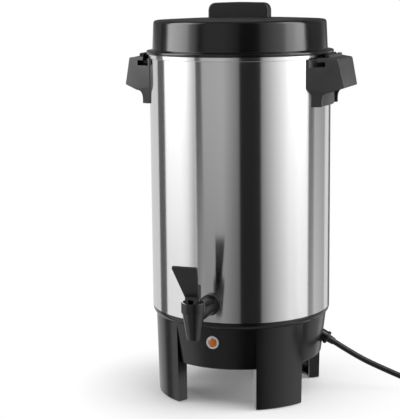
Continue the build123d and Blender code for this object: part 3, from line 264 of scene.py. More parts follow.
floor_corners = FLOOR_REACH * np.array([(-1, -1, 0), (1, -1, 0), (1, 1, 0), (-1, 1, 0)])
floor = mesh_piece("floor", floor_corners, [(0, 1, 2, 3)])
floor.visible_glossy = False
floor.data.materials.append(floor_paint())
print("floor: shadows fade from", SHADOW_FULL, "to", SHADOW_GONE, "m")

# %% [markdown]
# ## Cards for the steel
# Polished steel is a mirror, so what stands around it gives it its stripes. Painting the stripes
# on the steel would be simpler, but they would stay put when the urn is turned. So a ring of
# curved cards, white, grey and black, stands around it, and only reflections see them.

# %% Glowing cards


def principled(tree, sockets):
    """The surface shader and the material's output."""
    shader = tree.node("ShaderNodeBsdfPrincipled", None, sockets)
    tree.node("ShaderNodeOutputMaterial", None, {"Surface": shader})


def glowing_card(name, points, faces, level):
    """A staged mesh that only reflections see, as bright at each point as its level."""
    piece = mesh_piece(name, points, faces)
    colours = np.column_stack([level, level, level, np.ones_like(level)])
    tint = piece.data.color_attributes.new("level", "FLOAT_COLOR", "POINT")
    tint.data.foreach_set("color", colours.ravel())
    piece.visible_camera = False
    piece.visible_diffuse = False
    piece.visible_shadow = False
    material, tree = new_finish(name)
    shown = tree.node("ShaderNodeVertexColor", {"layer_name": "level"})
    principled(tree, {"Base Color": grey(0.0), "Emission Color": shown, "Emission Strength": 1.0})
    piece.data.materials.append(material)


print("a card glows by a level that is kept on its points")

# %% Card shapes
CARD_RADIUS = 1.6
CARD_FLOOR, CARD_CEILING = -1.6, 2.4
FOOT_END, FOOT_START = -0.23, 0.2
CROWN_START, CROWN_END = 0.34, 0.44
CARD_ROWS = np.array([CARD_FLOOR, FOOT_END, FOOT_START, CROWN_START, CROWN_END, CARD_CEILING])
CARD_COLUMNS = 25
DISC_CORNERS = 48


def card(name, start, end, near_level, far_level, foot=1.0, crown=1.0):
    """Upright part of a cylinder, (R sin a, -R cos a, z), between two azimuths from the camera.

    Its brightness runs evenly from the near to the far level. It is multiplied by foot below
    FOOT_END and by crown above CROWN_END, and both fade out between there and the card's middle.
    """
    angle = CAMERA_AZIMUTH + np.radians(np.linspace(start, end, CARD_COLUMNS))
    z, across = np.meshgrid(CARD_ROWS, angle, indexing="ij")
    points = np.stack([CARD_RADIUS * np.sin(across), -CARD_RADIUS * np.cos(across), z], axis=-1)
    rows, columns = z.shape
    corner = np.arange((rows - 1) * columns).reshape(rows - 1, columns)[:, :-1].ravel()
    faces = np.column_stack([corner, corner + 1, corner + 1 + columns, corner + columns])
    stops = [FOOT_END, FOOT_START, CROWN_START, CROWN_END]
    height = np.interp(CARD_ROWS, stops, [foot, 1.0, 1.0, crown])
    level = np.outer(height, np.linspace(near_level, far_level, columns))
    glowing_card(name, points.reshape(-1, 3), faces, level.ravel())


def round_card(name, z, level):
    """Level disc as wide as the ring of cards, (R cos a, R sin a, z), which closes it off."""
    angle = np.linspace(0.0, 2 * np.pi, DISC_CORNERS, endpoint=False)
    rim = np.column_stack([CARD_RADIUS * np.cos(angle), CARD_RADIUS * np.sin(angle), z + 0 * angle])
    glowing_card(name, rim, np.arange(DISC_CORNERS)[None, :], np.full(DISC_CORNERS, level))


print("card columns:", CARD_COLUMNS, "rows at", CARD_ROWS.tolist())

# %% Ring of cards
# A row holds the name, start and end in degrees, the two levels, and the factors at foot and crown.
CARDS = [
    ("left_wall", -180, -126, 0.7, 0.75, 1.0, 0.25),
    ("left_black_strip", -125, -108, 0.1, 0.1, 1.0, 0.3),
    ("left_softbox", -106, -80, 1.4, 1.4, 0.65, 4.3),
    ("left_softbox_fall", -80, -69, 1.4, 1.2, 0.68, 4.0),
    ("left_softbox_edge", -69, -57, 1.2, 0.5, 0.68, 2.0),
    ("slim_black_strip", -56, -48, 0.04, 0.1, 4.0),
    ("grey_wall", -48, -21, 0.46, 0.5, 0.6),
    ("grey_wall_end", -21, -1, 0.5, 0.2, 0.55),
    ("black_flag", -1, 25, 0.0, 0.0),
    ("right_softbox_edge", 25, 60, 0.26, 1.25, 0.66, 1.5),
    ("right_softbox_rise", 60, 74, 1.25, 1.4, 0.7, 3.3),
    ("right_softbox", 74, 91, 1.4, 1.4, 0.75, 4.2),
    ("right_dark_strip", 93, 104, 0.09, 0.18, 2.2, 0.3),
    ("right_wall", 104, 133, 0.5, 0.34, 1.3, 0.3),
    ("right_panel", 133, 150, 0.8, 0.8, 1.0, 0.3),
    ("right_wall_end", 150, 178, 0.13, 0.16, 1.0, 0.6),
]
CEILING_LEVEL, TABLE_LEVEL = 0.2, 0.35
for row in CARDS:
    card(*row)
round_card("ceiling", CARD_CEILING, CEILING_LEVEL)
round_card("table", CARD_FLOOR, TABLE_LEVEL)
print("cards:", len(CARDS), "upright, 2 level")

# %% [markdown]
# ## Lamps
# The cards only show in reflections, so something else has to cast the light and the soft
# shadows. A sun would be quick but hard-edged. Large area lamps stand where the bright cards are,
# and reflections don't see them, or each would show twice.

# %% Lamps
LAMP_AIM = Vector((0.0, 0.0, 0.22))
# A row holds the name, degrees from the camera, distance, height, width and length, and watts.
LAMPS = [
    ("left_lamp", -85, 1.8, 0.7, 1.2, 1.8, 15),
    ("right_lamp", 92, 1.8, 0.7, 1.3, 1.8, 36),
    ("top_lamp", 60, 1.2, 2.0, 1.6, 1.6, 18),
]


def soft_light(name, azimuth, distance, height, width, length, power):
    """An area light at an azimuth from the camera's side, aimed at the urn's middle."""
    lamp = bpy.data.lights.new(name, "AREA")
    lamp.shape = "RECTANGLE"
    lamp.size = width
    lamp.size_y = length
    lamp.energy = power
    piece = bpy.data.objects.new(name, lamp)
    angle = CAMERA_AZIMUTH + np.radians(azimuth)
    piece.location = (distance * np.sin(angle), -distance * np.cos(angle), height)
    piece.rotation_euler = (LAMP_AIM - piece.location).to_track_quat("-Z", "Y").to_euler()
    piece.visible_glossy = False
    scene.collection.objects.link(piece)


for row in LAMPS:
    soft_light(*row)
print("lamps:", len(LAMPS), "with", sum(row[-1] for row in LAMPS), "W")

# %% [markdown]
# ## Plastic
# Lid, handles, base and tap are injection-moulded in black. Such a skin is never quite even: it is
# faintly mottled, and a fine grain from the mould breaks up the gloss. A scanned picture could
# give that, but it would need a map on every piece. Two noise fields in the piece's own space fit
# any shape.

# %% Fields and colours
NOISE_DETAIL, NOISE_CONTRAST = 3.0, 0.55


def noise(tree, place, scale, detail=NOISE_DETAIL, contrast=NOISE_CONTRAST):
    """Soft random field from 0 to 1."""
    sockets = {"Vector": place, "Scale": scale, "Detail": detail, "Roughness": contrast}
    return tree.node("ShaderNodeTexNoise", None, sockets)


def blend(tree, share, low, high):
    """Colour between two colours: low at a share of 0, high at 1.

    A Mix node has sockets for several kinds. Inputs 6 and 7 and output 2 are those for colours.
    """
    return tree.node("ShaderNodeMix", {"data_type": "RGBA"}, {"Factor": share, 6: low, 7: high}, 2)


def dents(tree, strength, depth, height):
    """Normal of a surface that rises and falls with a field, by up to a depth in metres."""
    sockets = {"Strength": strength, "Distance": depth, "Height": height}
    return tree.node("ShaderNodeBump", None, sockets)


print("fields have", NOISE_DETAIL, "octaves of detail")

# %% Plastic
# Lengths inside a finish are in metres, as Blender measures them.
MOTTLE_SCALE = 38.0
MOTTLE_DARK, MOTTLE_LIGHT = 0.8, 1.25
MOTTLE_GLOSS = 0.12
GRAIN_DEPTH, GRAIN_DETAIL = 0.0002, 2.0
MATTE_FADE, MATTE_GAIN = 0.0008, 0.35


def moulded_plastic(name, colour, roughness, grain, grain_scale, matte_above=None):
    """Injection-moulded plastic: faint mottling, and a fine grain that breaks up the gloss.

    Above a height, where one is given, the mould was left rough and the plastic is matte.
    """
    material, tree = new_finish(name)
    place = object_space(tree)
    mottle = noise(tree, place, MOTTLE_SCALE)
    mould_grain = noise(tree, place, grain_scale, GRAIN_DETAIL)
    dark = tuple(MOTTLE_DARK * c for c in colour) + (1.0,)
    light = tuple(MOTTLE_LIGHT * c for c in colour) + (1.0,)
    dullness = roughness + MOTTLE_GLOSS * (mottle - 0.5)
    if matte_above is not None:
        height = tree.node("ShaderNodeSeparateXYZ", None, {"Vector": place}, "Z")
        dullness = dullness + rising(tree, height, matte_above - MATTE_FADE, matte_above, MATTE_GAIN)
    sockets = {
        "Base Color": blend(tree, mottle, dark, light),
        "Roughness": dullness,
        "Normal": dents(tree, grain, GRAIN_DEPTH, mould_grain),
    }
    principled(tree, sockets)
    return material


print("grain depth:", GRAIN_DEPTH, "m, mottling scale:", MOTTLE_SCALE)

# %% Plastics
LID_TOP = 417.2
# A row holds the colour, roughness, strength and scale of the grain, and where a matte top starts.
PLASTICS = {
    "lid_plastic": ((0.0045, 0.0045, 0.005), 0.17, 0.03, 2600.0, LID_TOP * MM),
    "knob_plastic": ((0.008, 0.008, 0.0085), 0.34, 0.2, 2200.0),
    "handle_plastic": ((0.03, 0.03, 0.031), 0.45, 0.2, 2400.0),
    "base_plastic": ((0.0035, 0.0035, 0.004), 0.21, 0.06, 2400.0),
    "tap_plastic": ((0.008, 0.008, 0.0085), 0.22, 0.06, 2600.0),
    "lever_plastic": ((0.009, 0.009, 0.0095), 0.34, 0.2, 2200.0),
    "control_plastic": ((0.1, 0.085, 0.07), 0.5, 0.2, 1800.0),
    "rubber": ((0.025, 0.025, 0.025), 0.75, 0.4, 1500.0),
    "silicone": ((0.55, 0.53, 0.5), 0.5, 0.1, 1500.0),
    "cord_plastic": ((0.008, 0.008, 0.0085), 0.36, 0.15, 2000.0),
    "wire_plastic": ((0.55, 0.53, 0.48), 0.5, 0.1, 2000.0),
    "tie_plastic": ((0.04, 0.04, 0.04), 0.55, 0.2, 2000.0),
    "plug_plastic": ((0.016, 0.016, 0.017), 0.45, 0.25, 2000.0),
    "amber_lens": ((0.33, 0.1, 0.008), 0.1, 0.0, 2000.0),
    "lamp_glass": ((0.8, 0.6, 0.45), 0.1, 0.0, 2000.0),
}
finishes = {name: moulded_plastic(name, *recipe) for name, recipe in PLASTICS.items()}
print("plastics:", len(finishes))

# %% [markdown]
# ## Steel
# The shell is stainless steel, brushed while it turned, so its scratches run round it in fine
# rings. They are far too fine to model. A noise stretched into rings gives each hair its tone, an
# anisotropic shader stretches the reflections across them, and a broad noise keeps the gloss from
# being perfect. Tank, screws and heater take the same recipe with less brushing.

# %% Steel
HAIR_STRETCH = (3.0, 3.0, 1500.0)
HAIR_DETAIL, HAIR_CONTRAST = 4.0, 0.7
HAIR_STRENGTH, HAIR_DEPTH = 0.05, 0.0001
HAIR_SHADE = 0.94
CLOUD_SCALE = 9.0
GLOSS_SPREAD = 0.05
QUARTER_TURN = 0.25


def steel_finish(name, brightness, roughness, anisotropy):
    """Steel brushed round its axis: fine rings stretch every reflection up and down."""
    material, tree = new_finish(name)
    place = object_space(tree)
    stretched = tree.node("ShaderNodeMapping", None, {"Vector": place, "Scale": HAIR_STRETCH})
    hairs = noise(tree, stretched, 1.0, HAIR_DETAIL, HAIR_CONTRAST)
    cloud = noise(tree, place, CLOUD_SCALE)
    sockets = {
        "Base Color": blend(tree, hairs, grey(brightness * HAIR_SHADE), grey(brightness)),
        "Metallic": 1.0,
        "Roughness": roughness + GLOSS_SPREAD * (hairs - 0.5) + GLOSS_SPREAD * (cloud - 0.5),
        "Anisotropic": anisotropy,
        "Anisotropic Rotation": QUARTER_TURN,
        "Normal": dents(tree, HAIR_STRENGTH, HAIR_DEPTH, hairs),
    }
    principled(tree, sockets)
    return material


# A row holds the brightness, the roughness and how far the brushing stretches reflections.
METALS = {
    "brushed_steel": (0.74, 0.15, 0.8),
    "polished_steel": (0.8, 0.14, 0.3),
    "zinc_steel": (0.62, 0.34, 0.0),
    "element_steel": (0.35, 0.45, 0.0),
    "aluminium": (0.76, 0.32, 0.2),
    "bezel_chrome": (0.92, 0.4, 0.0),
    "plug_brass": (0.7, 0.2, 0.0),
}
finishes.update({name: steel_finish(name, *recipe) for name, recipe in METALS.items()})
for entry in frame["record"]["subparts"]:
    solid = nodes[entry["node"]].data
    solid.materials.clear()
    solid.materials.append(finishes[entry["material_slot"]])

# %% [markdown]
# ## The mains lead
# A lead is a fixed length of something limp. It leaves its strain relief slanting down, bends
# onto the table and ends in a tied coil with its plug. Straight tubes and rings would be easy to
# join, but a lead has no such breaks. One smooth spline led by a few points bends as it does, and
# a round bevel gives it its thickness.

# %% Lead route
LEAD_ANGLE = np.radians(13.0)
# Height of the lead's middle where it lies on the table.
LAID = 4.15
# Points of the free stretch: distance from the urn's axis, and height.
LEAD_ROUTE = [
    (105.80, 54.05),
    (122.0, 43.93),
    (140.5, 33.4),
    (160.5, 24.4),
    (181.0, 15.6),
    (199.0, 8.6),
    (216.0, 5.0),
    (232.0, LAID),
    (246.0, LAID),
]
COIL_START = 254.0
COIL_RADIUS = 40.0
COIL_PITCH = 7.2
TURNS_IN, TURNS_UP, TURNS_OUT = 1.5, 0.5, 1.25
PLUG_TAIL = 26.0
POINTS_PER_TURN = 16


def lead_points():
    """The free stretch, the coil and the plug's tail, in metres.

    The coil's reach shrinks by one pitch a turn on the table and grows as fast on top of itself.
    At a share s of the turn between, it dips by s (1 - s) of what it would shrink in that turn, and
    the height has risen by s^2 (3 - 2 s) of a pitch.
    """
    outward = np.array([np.cos(LEAD_ANGLE), np.sin(LEAD_ANGLE), 0.0])
    aside = np.array([np.sin(LEAD_ANGLE), -np.cos(LEAD_ANGLE), 0.0])
    free = np.array(LEAD_ROUTE)
    stretch = free[:, :1] * outward + free[:, 1:] * np.array([0.0, 0.0, 1.0])
    turns = TURNS_IN + TURNS_UP + TURNS_OUT
    wound = np.linspace(0.0, turns, round(turns * POINTS_PER_TURN) + 1)
    climb = np.clip((wound - TURNS_IN) / TURNS_UP, 0, 1)
    still_out = np.clip(TURNS_IN - wound, 0, None)
    out_again = np.clip(wound - TURNS_IN - TURNS_UP, 0, None)
    dip = TURNS_UP * climb * (1 - climb)
    reach = (COIL_RADIUS + COIL_PITCH * (still_out + out_again - dip - TURNS_IN))[:, None]
    angle = 2 * np.pi * wound[:, None]
    middle = COIL_START * outward + COIL_RADIUS * aside
    ring = middle + reach * (np.sin(angle) * outward - np.cos(angle) * aside)
    ring[:, 2] = LAID + COIL_PITCH * climb**2 * (3 - 2 * climb)
    last = ring[-1] - ring[-2]
    tail = ring[-1] + PLUG_TAIL * last / np.linalg.norm(last) * np.array([[0.5], [1.0]])
    return np.vstack([stretch, ring, tail]) * MM


route = lead_points()
print("lead points:", len(route), "height from", round(route[0, 2], 4), "to", round(LAID * MM, 4))

# %% Lead
CORD_RADIUS, CORD_LENGTH = 3.25, 865.0
SPLINE_ORDER = 3
SPLINE_STEPS, BEVEL_STEPS = 6, 6


def spline_piece(name, points, radius):
    """One open NURBS curve with a round bevel, as thick as the radius of its points."""
    curve = bpy.data.curves.new(name, "CURVE")
    curve.dimensions = "3D"
    curve.bevel_depth = 1.0
    curve.bevel_resolution = BEVEL_STEPS
    curve.resolution_u = SPLINE_STEPS
    curve.use_fill_caps = True
    spline = curve.splines.new("NURBS")
    spline.points.add(len(points) - 1)
    spline.points.foreach_set("co", np.column_stack([points, np.ones(len(points))]).ravel())
    spline.points.foreach_set("radius", np.full(len(points), radius))
    spline.order_u = SPLINE_ORDER
    spline.use_endpoint_u = True
    piece = bpy.data.objects.new(name, curve)
    scene.collection.objects.link(piece)
    return piece


lead = spline_piece("mains_lead", route, CORD_RADIUS * MM)
lead.data.materials.append(finishes["cord_plastic"])
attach(lead, "urn")
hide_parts("power_cord", "cord_coil")
print("lead:", CORD_LENGTH, "mm long,", 2 * CORD_RADIUS, "mm thick")

# %% [markdown]
# ## Sections and sweeps
# A moulded piece is mostly one section carried along a path: round an axis for lid and spout, from
# side to side for a handle. Blender's Screw modifier could turn a section too. Whole arrays are
# used here, because then a section may change on its way, and one formula softens all corners.

# %% Soft outlines
# How far a corner's curve reaches along its sides, from a true corner to a broad round.
CORNER, FINE, SMALL, SOFT, BROAD = 0.0, 0.3, 0.5, 0.6, 1.0
EASE_POINTS = 5


def eased(corners, steps=EASE_POINTS):
    """Outline with soft corners, from rows (across, up, ease).

    Each corner c becomes the curve (1-t)^2 a + 2t(1-t) c + t^2 b, where a and b lie one ease away
    from it on its two sides.
    """
    corners = np.array(corners, dtype=float)
    place, ease = corners[:, :2], corners[:, 2:3]
    behind = np.roll(place, 1, axis=0) - place
    ahead = np.roll(place, -1, axis=0) - place
    start = place + behind / np.linalg.norm(behind, axis=1, keepdims=True) * ease
    end = place + ahead / np.linalg.norm(ahead, axis=1, keepdims=True) * ease
    t = np.linspace(0.0, 1.0, steps)[None, :, None]
    curve = (1 - t) ** 2 * start[:, None] + 2 * t * (1 - t) * place[:, None] + t**2 * end[:, None]
    return curve.reshape(-1, 2)


print("points on an eased corner:", EASE_POINTS)

# %% Turns and sweeps


def swept(sections, closed=False, caps=None):
    """Points and faces of a tube through sections of shape (stations, points, 3).

    A quad joins each two neighbours of a section to the same two of the next. Unless the tube closes
    on itself, both ends are capped by one face, or by one for each list of points.
    """
    stations, count = sections.shape[:2]
    index = np.arange(stations * count).reshape(stations, count)
    here = index if closed else index[:-1]
    there = np.roll(index, -1, axis=0) if closed else index[1:]
    quads = np.stack([here, np.roll(here, -1, axis=1), np.roll(there, -1, axis=1), there], axis=-1)
    faces = quads.reshape(-1, 4).tolist()
    if not closed:
        outlines = caps or [range(count)]
        faces += [end[cap].tolist() for end in (index[0], index[-1]) for cap in outlines]
    return sections.reshape(-1, 3), faces


def turned(section, start, end, stations):
    """Sections of a solid of revolution: each point (r, z) becomes (r cos a, r sin a, z)."""
    angle = np.radians(np.linspace(start, end, stations))[:, None]
    radius, z = section[None, :, 0], section[None, :, 1]
    return np.stack([radius * np.cos(angle), radius * np.sin(angle), z + 0 * angle], axis=-1)


def full_turn(section, stations):
    """Sections once round the axis, without the last one, which would be the first again."""
    return turned(section, 0.0, 360.0, stations + 1)[:-1]


square = np.array([(1.0, 0.0), (2.0, 0.0), (2.0, 1.0), (1.0, 1.0)])
trial_ring = swept(full_turn(square, 8), closed=True)
print("a square turned through 8 stations has", len(trial_ring[1]), "faces")

# %% Weld
WELD = 0.001


def weld(mesh):
    """Merge points that lie together, drop edges left without a face, and turn all faces outwards."""
    form = bmesh.new()
    form.from_mesh(mesh)
    bmesh.ops.remove_doubles(form, verts=form.verts, dist=WELD * MM)
    loose = [side for side in form.edges if not side.link_faces]
    bmesh.ops.delete(form, geom=loose, context="EDGES")
    bmesh.ops.recalc_face_normals(form, faces=form.faces)
    form.to_mesh(mesh)
    form.free()


print("points nearer than", WELD, "mm are merged")

# %% Moulding
CREASE = np.radians(35.0)
BEVEL_SEGMENTS = 3


def moulding(name, body, node, slot, tubes, edge=0.0):
    """One piece from several tubes in millimetres, with rounded edges, in place of a node."""
    faces = []
    count = 0
    for tube_points, tube_faces in tubes:
        faces += [[count + i for i in face] for face in tube_faces]
        count += len(tube_points)
    points = np.vstack([tube_points for tube_points, tube_faces in tubes]) * MM
    mesh = bpy.data.meshes.new(name)
    mesh.from_pydata(points.tolist(), [], faces)
    weld(mesh)
    mesh.shade_smooth()
    mesh.set_sharp_from_angle(angle=CREASE)
    mesh.materials.append(finishes[slot])
    piece = bpy.data.objects.new(name, mesh)
    scene.collection.objects.link(piece)
    if edge:
        softened = piece.modifiers.new("edges", "BEVEL")
        softened.width = edge * MM
        softened.segments = BEVEL_SEGMENTS
        softened.limit_method = "ANGLE"
        softened.angle_limit = CREASE
        softened.harden_normals = True
    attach(piece, body)
    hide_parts(node)
    print(name, "faces:", len(mesh.polygons))
    return piece


print("edges above", round(np.degrees(CREASE)), "degrees stay sharp or get a bevel")

# %% [markdown]
# ## The lid
# The tall lid is a thin moulding: a plug inside the tank's rim, a flange that laps over the rim, a
# wall, and a top that rises a little to its middle. Two hooks below the flange lock into the
# handles. Cylinders cut by cylinders would do. One section turned about the axis keeps the wall
# even, and the hooks are a second section turned a short way.

# %% Lid


def millimetres(node):
    """The two corners of a node's box."""
    return [np.array(corner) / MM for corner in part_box(node)]


rim_top = millimetres("inner_tank")[1][2]
# Half-way out, the dome's corner lies at this share of its rise.
DOME_MIDDLE = 0.75
LID_DOME, DOME_EASE = 2.8, 30.0
LID_TOP_RADIUS, LID_TOP_EASE = 95.0, 3.5
LID_ROOT_RADIUS = 96.6
LID_WALL = 2.4
FLANGE_RADIUS, FLANGE_WALL, FLANGE_FALL = 103.2, 1.0, 1.2
FLANGE_ABOVE_RIM, FLANGE_BELOW_RIM = 2.4, 1.2
PLUG_RADIUS, PLUG_DEPTH = 90.6, 8.0
# Gap between pieces that rest on each other.
SEAT = 0.1
LID_STATIONS = 144
flange_top = rim_top + FLANGE_ABOVE_RIM
flange_low = rim_top - FLANGE_BELOW_RIM
plug_low = rim_top - PLUG_DEPTH
lid_section = eased(
    [
        (0.0, LID_TOP + LID_DOME, CORNER),
        (LID_TOP_RADIUS / 2, LID_TOP + DOME_MIDDLE * LID_DOME, DOME_EASE),
        (LID_TOP_RADIUS, LID_TOP, LID_TOP_EASE),
        (LID_ROOT_RADIUS, flange_top + FLANGE_FALL, SOFT),
        (FLANGE_RADIUS, flange_top, BROAD),
        (FLANGE_RADIUS, flange_low, FINE),
        (FLANGE_RADIUS - FLANGE_WALL, flange_low, FINE),
        (FLANGE_RADIUS - FLANGE_WALL, rim_top + SEAT, CORNER),
        (PLUG_RADIUS, rim_top + SEAT, CORNER),
        (PLUG_RADIUS, plug_low, SMALL),
        (PLUG_RADIUS - LID_WALL, plug_low, SMALL),
        (PLUG_RADIUS - LID_WALL, rim_top, SMALL),
        (LID_ROOT_RADIUS - LID_WALL, flange_top, SMALL),
        (LID_TOP_RADIUS - LID_WALL, LID_TOP - LID_WALL, BROAD),
        (0.0, LID_TOP - LID_WALL, CORNER),
    ]
)
lid_tubes = [swept(full_turn(lid_section, LID_STATIONS), closed=True)]
print("tank rim at", round(rim_top, 2), "lid section:", len(lid_section), "points")

# %% Lid hooks
HOOK_HALF_ANGLE, HOOK_STATIONS = 11.0, 13
HOOK_INNER, HOOK_OUTER, TOE_OUTER = 103.1, 106.1, 112.1
TOE_LOW, TOE_TOP = 369.2, 372.4
ARM_OVERLAP = 0.9
arm_root = FLANGE_RADIUS - FLANGE_WALL + SEAT
hook_section = eased(
    [
        (arm_root, flange_low + ARM_OVERLAP, CORNER),
        (HOOK_OUTER, flange_low + ARM_OVERLAP, SOFT),
        (HOOK_OUTER, TOE_TOP, FINE),
        (TOE_OUTER, TOE_TOP, SMALL),
        (TOE_OUTER, TOE_LOW, SMALL),
        (HOOK_INNER, TOE_LOW, SMALL),
        (HOOK_INNER, flange_low - ARM_OVERLAP, CORNER),
        (arm_root, flange_low - ARM_OVERLAP, CORNER),
    ]
)
for middle in (0.0, 180.0):
    hook = turned(hook_section, middle - HOOK_HALF_ANGLE, middle + HOOK_HALF_ANGLE, HOOK_STATIONS)
    lid_tubes.append(swept(hook))
moulding("turned_lid", "lid", "lid_shell", "lid_plastic", lid_tubes)

# %% [markdown]
# ## The grip bar
# A bar across the lid gives the fingers a hold for the twist. A box with rounded edges comes
# close. The real bar has rounder ends and a slightly bowed top, so its long side is drawn as an
# outline, carried from face to face, and a bevel takes the sharpness off its edges.

# %% Grip bar
bar_half_length, bar_half_width = millimetres("lid_knob")[1][:2]
BAR_TOP, BAR_FALL = 436.3, 0.9
BAR_CORNER, BAR_CORNER_POINTS = 9.0, 9
BAR_EDGE = 1.6
bar_outline = eased(
    [
        (-bar_half_length, LID_TOP, CORNER),
        (bar_half_length, LID_TOP, CORNER),
        (bar_half_length, BAR_TOP - BAR_FALL, BAR_CORNER),
        (0.0, BAR_TOP, BAR_CORNER),
        (-bar_half_length, BAR_TOP - BAR_FALL, BAR_CORNER),
    ],
    steps=BAR_CORNER_POINTS,
)
bar_faces = (-bar_half_width, bar_half_width)
bar_sides = np.array([np.insert(bar_outline, 1, y, axis=1) for y in bar_faces])
moulding("grip_bar", "lid", "lid_knob", "knob_plastic", [swept(bar_sides)], BAR_EDGE)

# %% [markdown]
# ## The handles
# Each handle is a hood on the side of the shell, open below for the fingers, with a slot in its
# top for the lid's hook and a leg that runs down the steel. Boxes cut by boxes would give it too.
# One section carried from the front wall to the rear wall keeps every wall an even thickness.
# Its points on the shell, the slot and the ridge keep their distance from the axis on the way, and
# the others keep their x. Where the hood is hollow, the section's underside moves up inside it.

# %% Hood walls
shell_radius = millimetres("outer_shell")[1][0]
HOOD_REACH = 119.7
# Half-widths of a hood where it meets the shell, and at its outer face.
SHELL_HALF_WIDTH, FACE_HALF_WIDTH = 46.5, 31.5
seat_radius = shell_radius + SEAT
shell_x = np.sqrt(seat_radius**2 - SHELL_HALF_WIDTH**2)
wall_slope = (SHELL_HALF_WIDTH - FACE_HALF_WIDTH) / (HOOD_REACH - shell_x)
wall_start = FACE_HALF_WIDTH + wall_slope * HOOD_REACH


def wall_at(x):
    """Half-width of the hood at a distance x from the axis, on its flat side wall: start - slope x."""
    return wall_start - wall_slope * x


def wall_on_circle(radius):
    """Half-width where a circle meets the wall: at the larger root of x^2 + wall(x)^2 = r^2."""
    square = 1 + wall_slope**2
    middle = wall_start * wall_slope / square
    return wall_at(middle + np.sqrt(middle**2 - (wall_start**2 - radius**2) / square))


def round_points(points):
    """Rows (reach, z, half-width, 1) of points that keep their distance from the axis."""
    points = np.array(points)
    return np.column_stack([points, wall_on_circle(points[:, 0]), np.ones(len(points))])


def flat_points(points):
    """Rows (reach, z, half-width, 0) of points that keep their x."""
    points = np.array(points)
    return np.column_stack([points, wall_at(points[:, 0]), np.zeros(len(points))])


print("the side walls draw in by", round(wall_slope, 3), "mm for each mm outwards")

# %% Hood top
HOOD_TOP, HOOD_RISE, HOOD_CHAMFER = 376.3, 1.6, 1.2
LIP_REACH, LIP_Z = 125.9, 346.0
RIDGE_OUTER = 112.1
SLOT_GAP = 1.0
slot_inner = HOOK_INNER - SLOT_GAP
neck_outer = HOOK_OUTER + SLOT_GAP
slot_outer = TOE_OUTER + SLOT_GAP
slot_floor = TOE_LOW - SLOT_GAP
slot_roof = TOE_TOP + SLOT_GAP
slot_edge = round_points(
    [
        (seat_radius, HOOD_TOP),
        (slot_inner, HOOD_TOP),
        (slot_inner, slot_floor),
        (slot_outer, slot_floor),
        (slot_outer, slot_roof),
        (neck_outer, slot_roof),
        (neck_outer, HOOD_TOP + HOOD_RISE),
        (RIDGE_OUTER, HOOD_TOP + HOOD_RISE),
    ]
)
outer_face = flat_points(
    [
        (HOOD_REACH - HOOD_CHAMFER, HOOD_TOP),
        (HOOD_REACH, HOOD_TOP - HOOD_CHAMFER),
        (LIP_REACH, LIP_Z),
    ]
)
hood_top = np.vstack([slot_edge, outer_face])
print("slot:", round(slot_roof - slot_floor, 1), "mm high, hood top:", len(hood_top), "points")

# %% Cheek section
HOOD_WALL = 2.6
# The lip's underside falls towards the shell, then bends down into the leg.
UNDER_SLOPE = 0.32
ROOT_REACH = 109.4
LEG_REACH, LEG_TOP, FOOT_Z = 102.8, 331.0, 325.9
LEG_SHELL_HALF_WIDTH, LEG_HALF_WIDTH = 38.5, 34.4
LEG_SHOULDER = 338.0
KNEE_STEPS = 6
lip_low = LIP_Z - UNDER_SLOPE * HOOD_WALL
root_z = LIP_Z - UNDER_SLOPE * (LIP_REACH - ROOT_REACH)


def knee_points():
    """Bend from the hood's root to the leg: a quadratic curve with its corner above the leg's top.

    Reach is (1-t)^2 root + (2t - t^2) leg, height (1 - t^2) root + t^2 leg. The width runs evenly.
    """
    t = np.linspace(0.0, 1.0, KNEE_STEPS + 1)[1:]
    reach = (1 - t) ** 2 * ROOT_REACH + (2 * t - t**2) * LEG_REACH
    height = (1 - t**2) * root_z + t**2 * LEG_TOP
    width = (1 - t) * wall_at(ROOT_REACH) + t * LEG_HALF_WIDTH
    return np.column_stack([reach, height, width, 0 * t])


lip = flat_points([(LIP_REACH - HOOD_WALL, lip_low)])
root = flat_points([(ROOT_REACH, root_z)])
leg_foot = np.array([(LEG_REACH, FOOT_Z, LEG_HALF_WIDTH, 0)])
on_shell = np.array(
    [
        (seat_radius, FOOT_Z, LEG_SHELL_HALF_WIDTH, 1),
        (seat_radius, LEG_SHOULDER, LEG_SHELL_HALF_WIDTH, 1),
        (seat_radius, LIP_Z, SHELL_HALF_WIDTH, 1),
    ]
)
cheek = np.vstack([hood_top, lip, root, knee_points(), leg_foot, on_shell])
print("cheek section:", len(cheek), "points")

# %% Hollow section
BACK_WALL = 4.2
back_radius = shell_radius + BACK_WALL
hollow_roof = slot_floor - HOOD_WALL
face_lean = (LIP_REACH - HOOD_REACH) / (HOOD_TOP - LIP_Z)
hollow_reach = HOOD_REACH + face_lean * (HOOD_TOP - hollow_roof) - HOOD_WALL
roof_front = flat_points([(hollow_reach, hollow_roof)])
roof_back = np.tile(round_points([(back_radius, hollow_roof)]), (KNEE_STEPS, 1))
back_foot = np.array([(back_radius, FOOT_Z, LEG_HALF_WIDTH, 1)])
hollow = np.vstack([hood_top, lip, roof_front, roof_back, back_foot, on_shell])
print("hollow section:", len(hollow), "points, roof at", round(hollow_roof, 1))

# %% Hoods
RIDGE_TOP, RIDGE_HALF_ANGLE, RIDGE_STATIONS = 380.8, 14.3, 13
HOLLOW_STATIONS = 15
HOOD_EDGE = 0.7


def carried(section, shares):
    """Section at shares of its half-width: y = share * width, x = sqrt(reach^2 - y^2) or the reach."""
    reach, z, width, on_circle = section.T
    y = np.outer(shares, width)
    x = np.where(on_circle > 0, np.sqrt(reach**2 - y**2), reach)
    return np.stack([x, y, z + 0 * y], axis=-1)


inner_share = 1 - HOOD_WALL / FACE_HALF_WIDTH
front_cheek = carried(cheek, [-1.0, -inner_share])
between = carried(hollow, np.linspace(-inner_share, inner_share, HOLLOW_STATIONS))
rear_cheek = carried(cheek, [inner_share, 1.0])
hood = np.concatenate([front_cheek, between, rear_cheek])
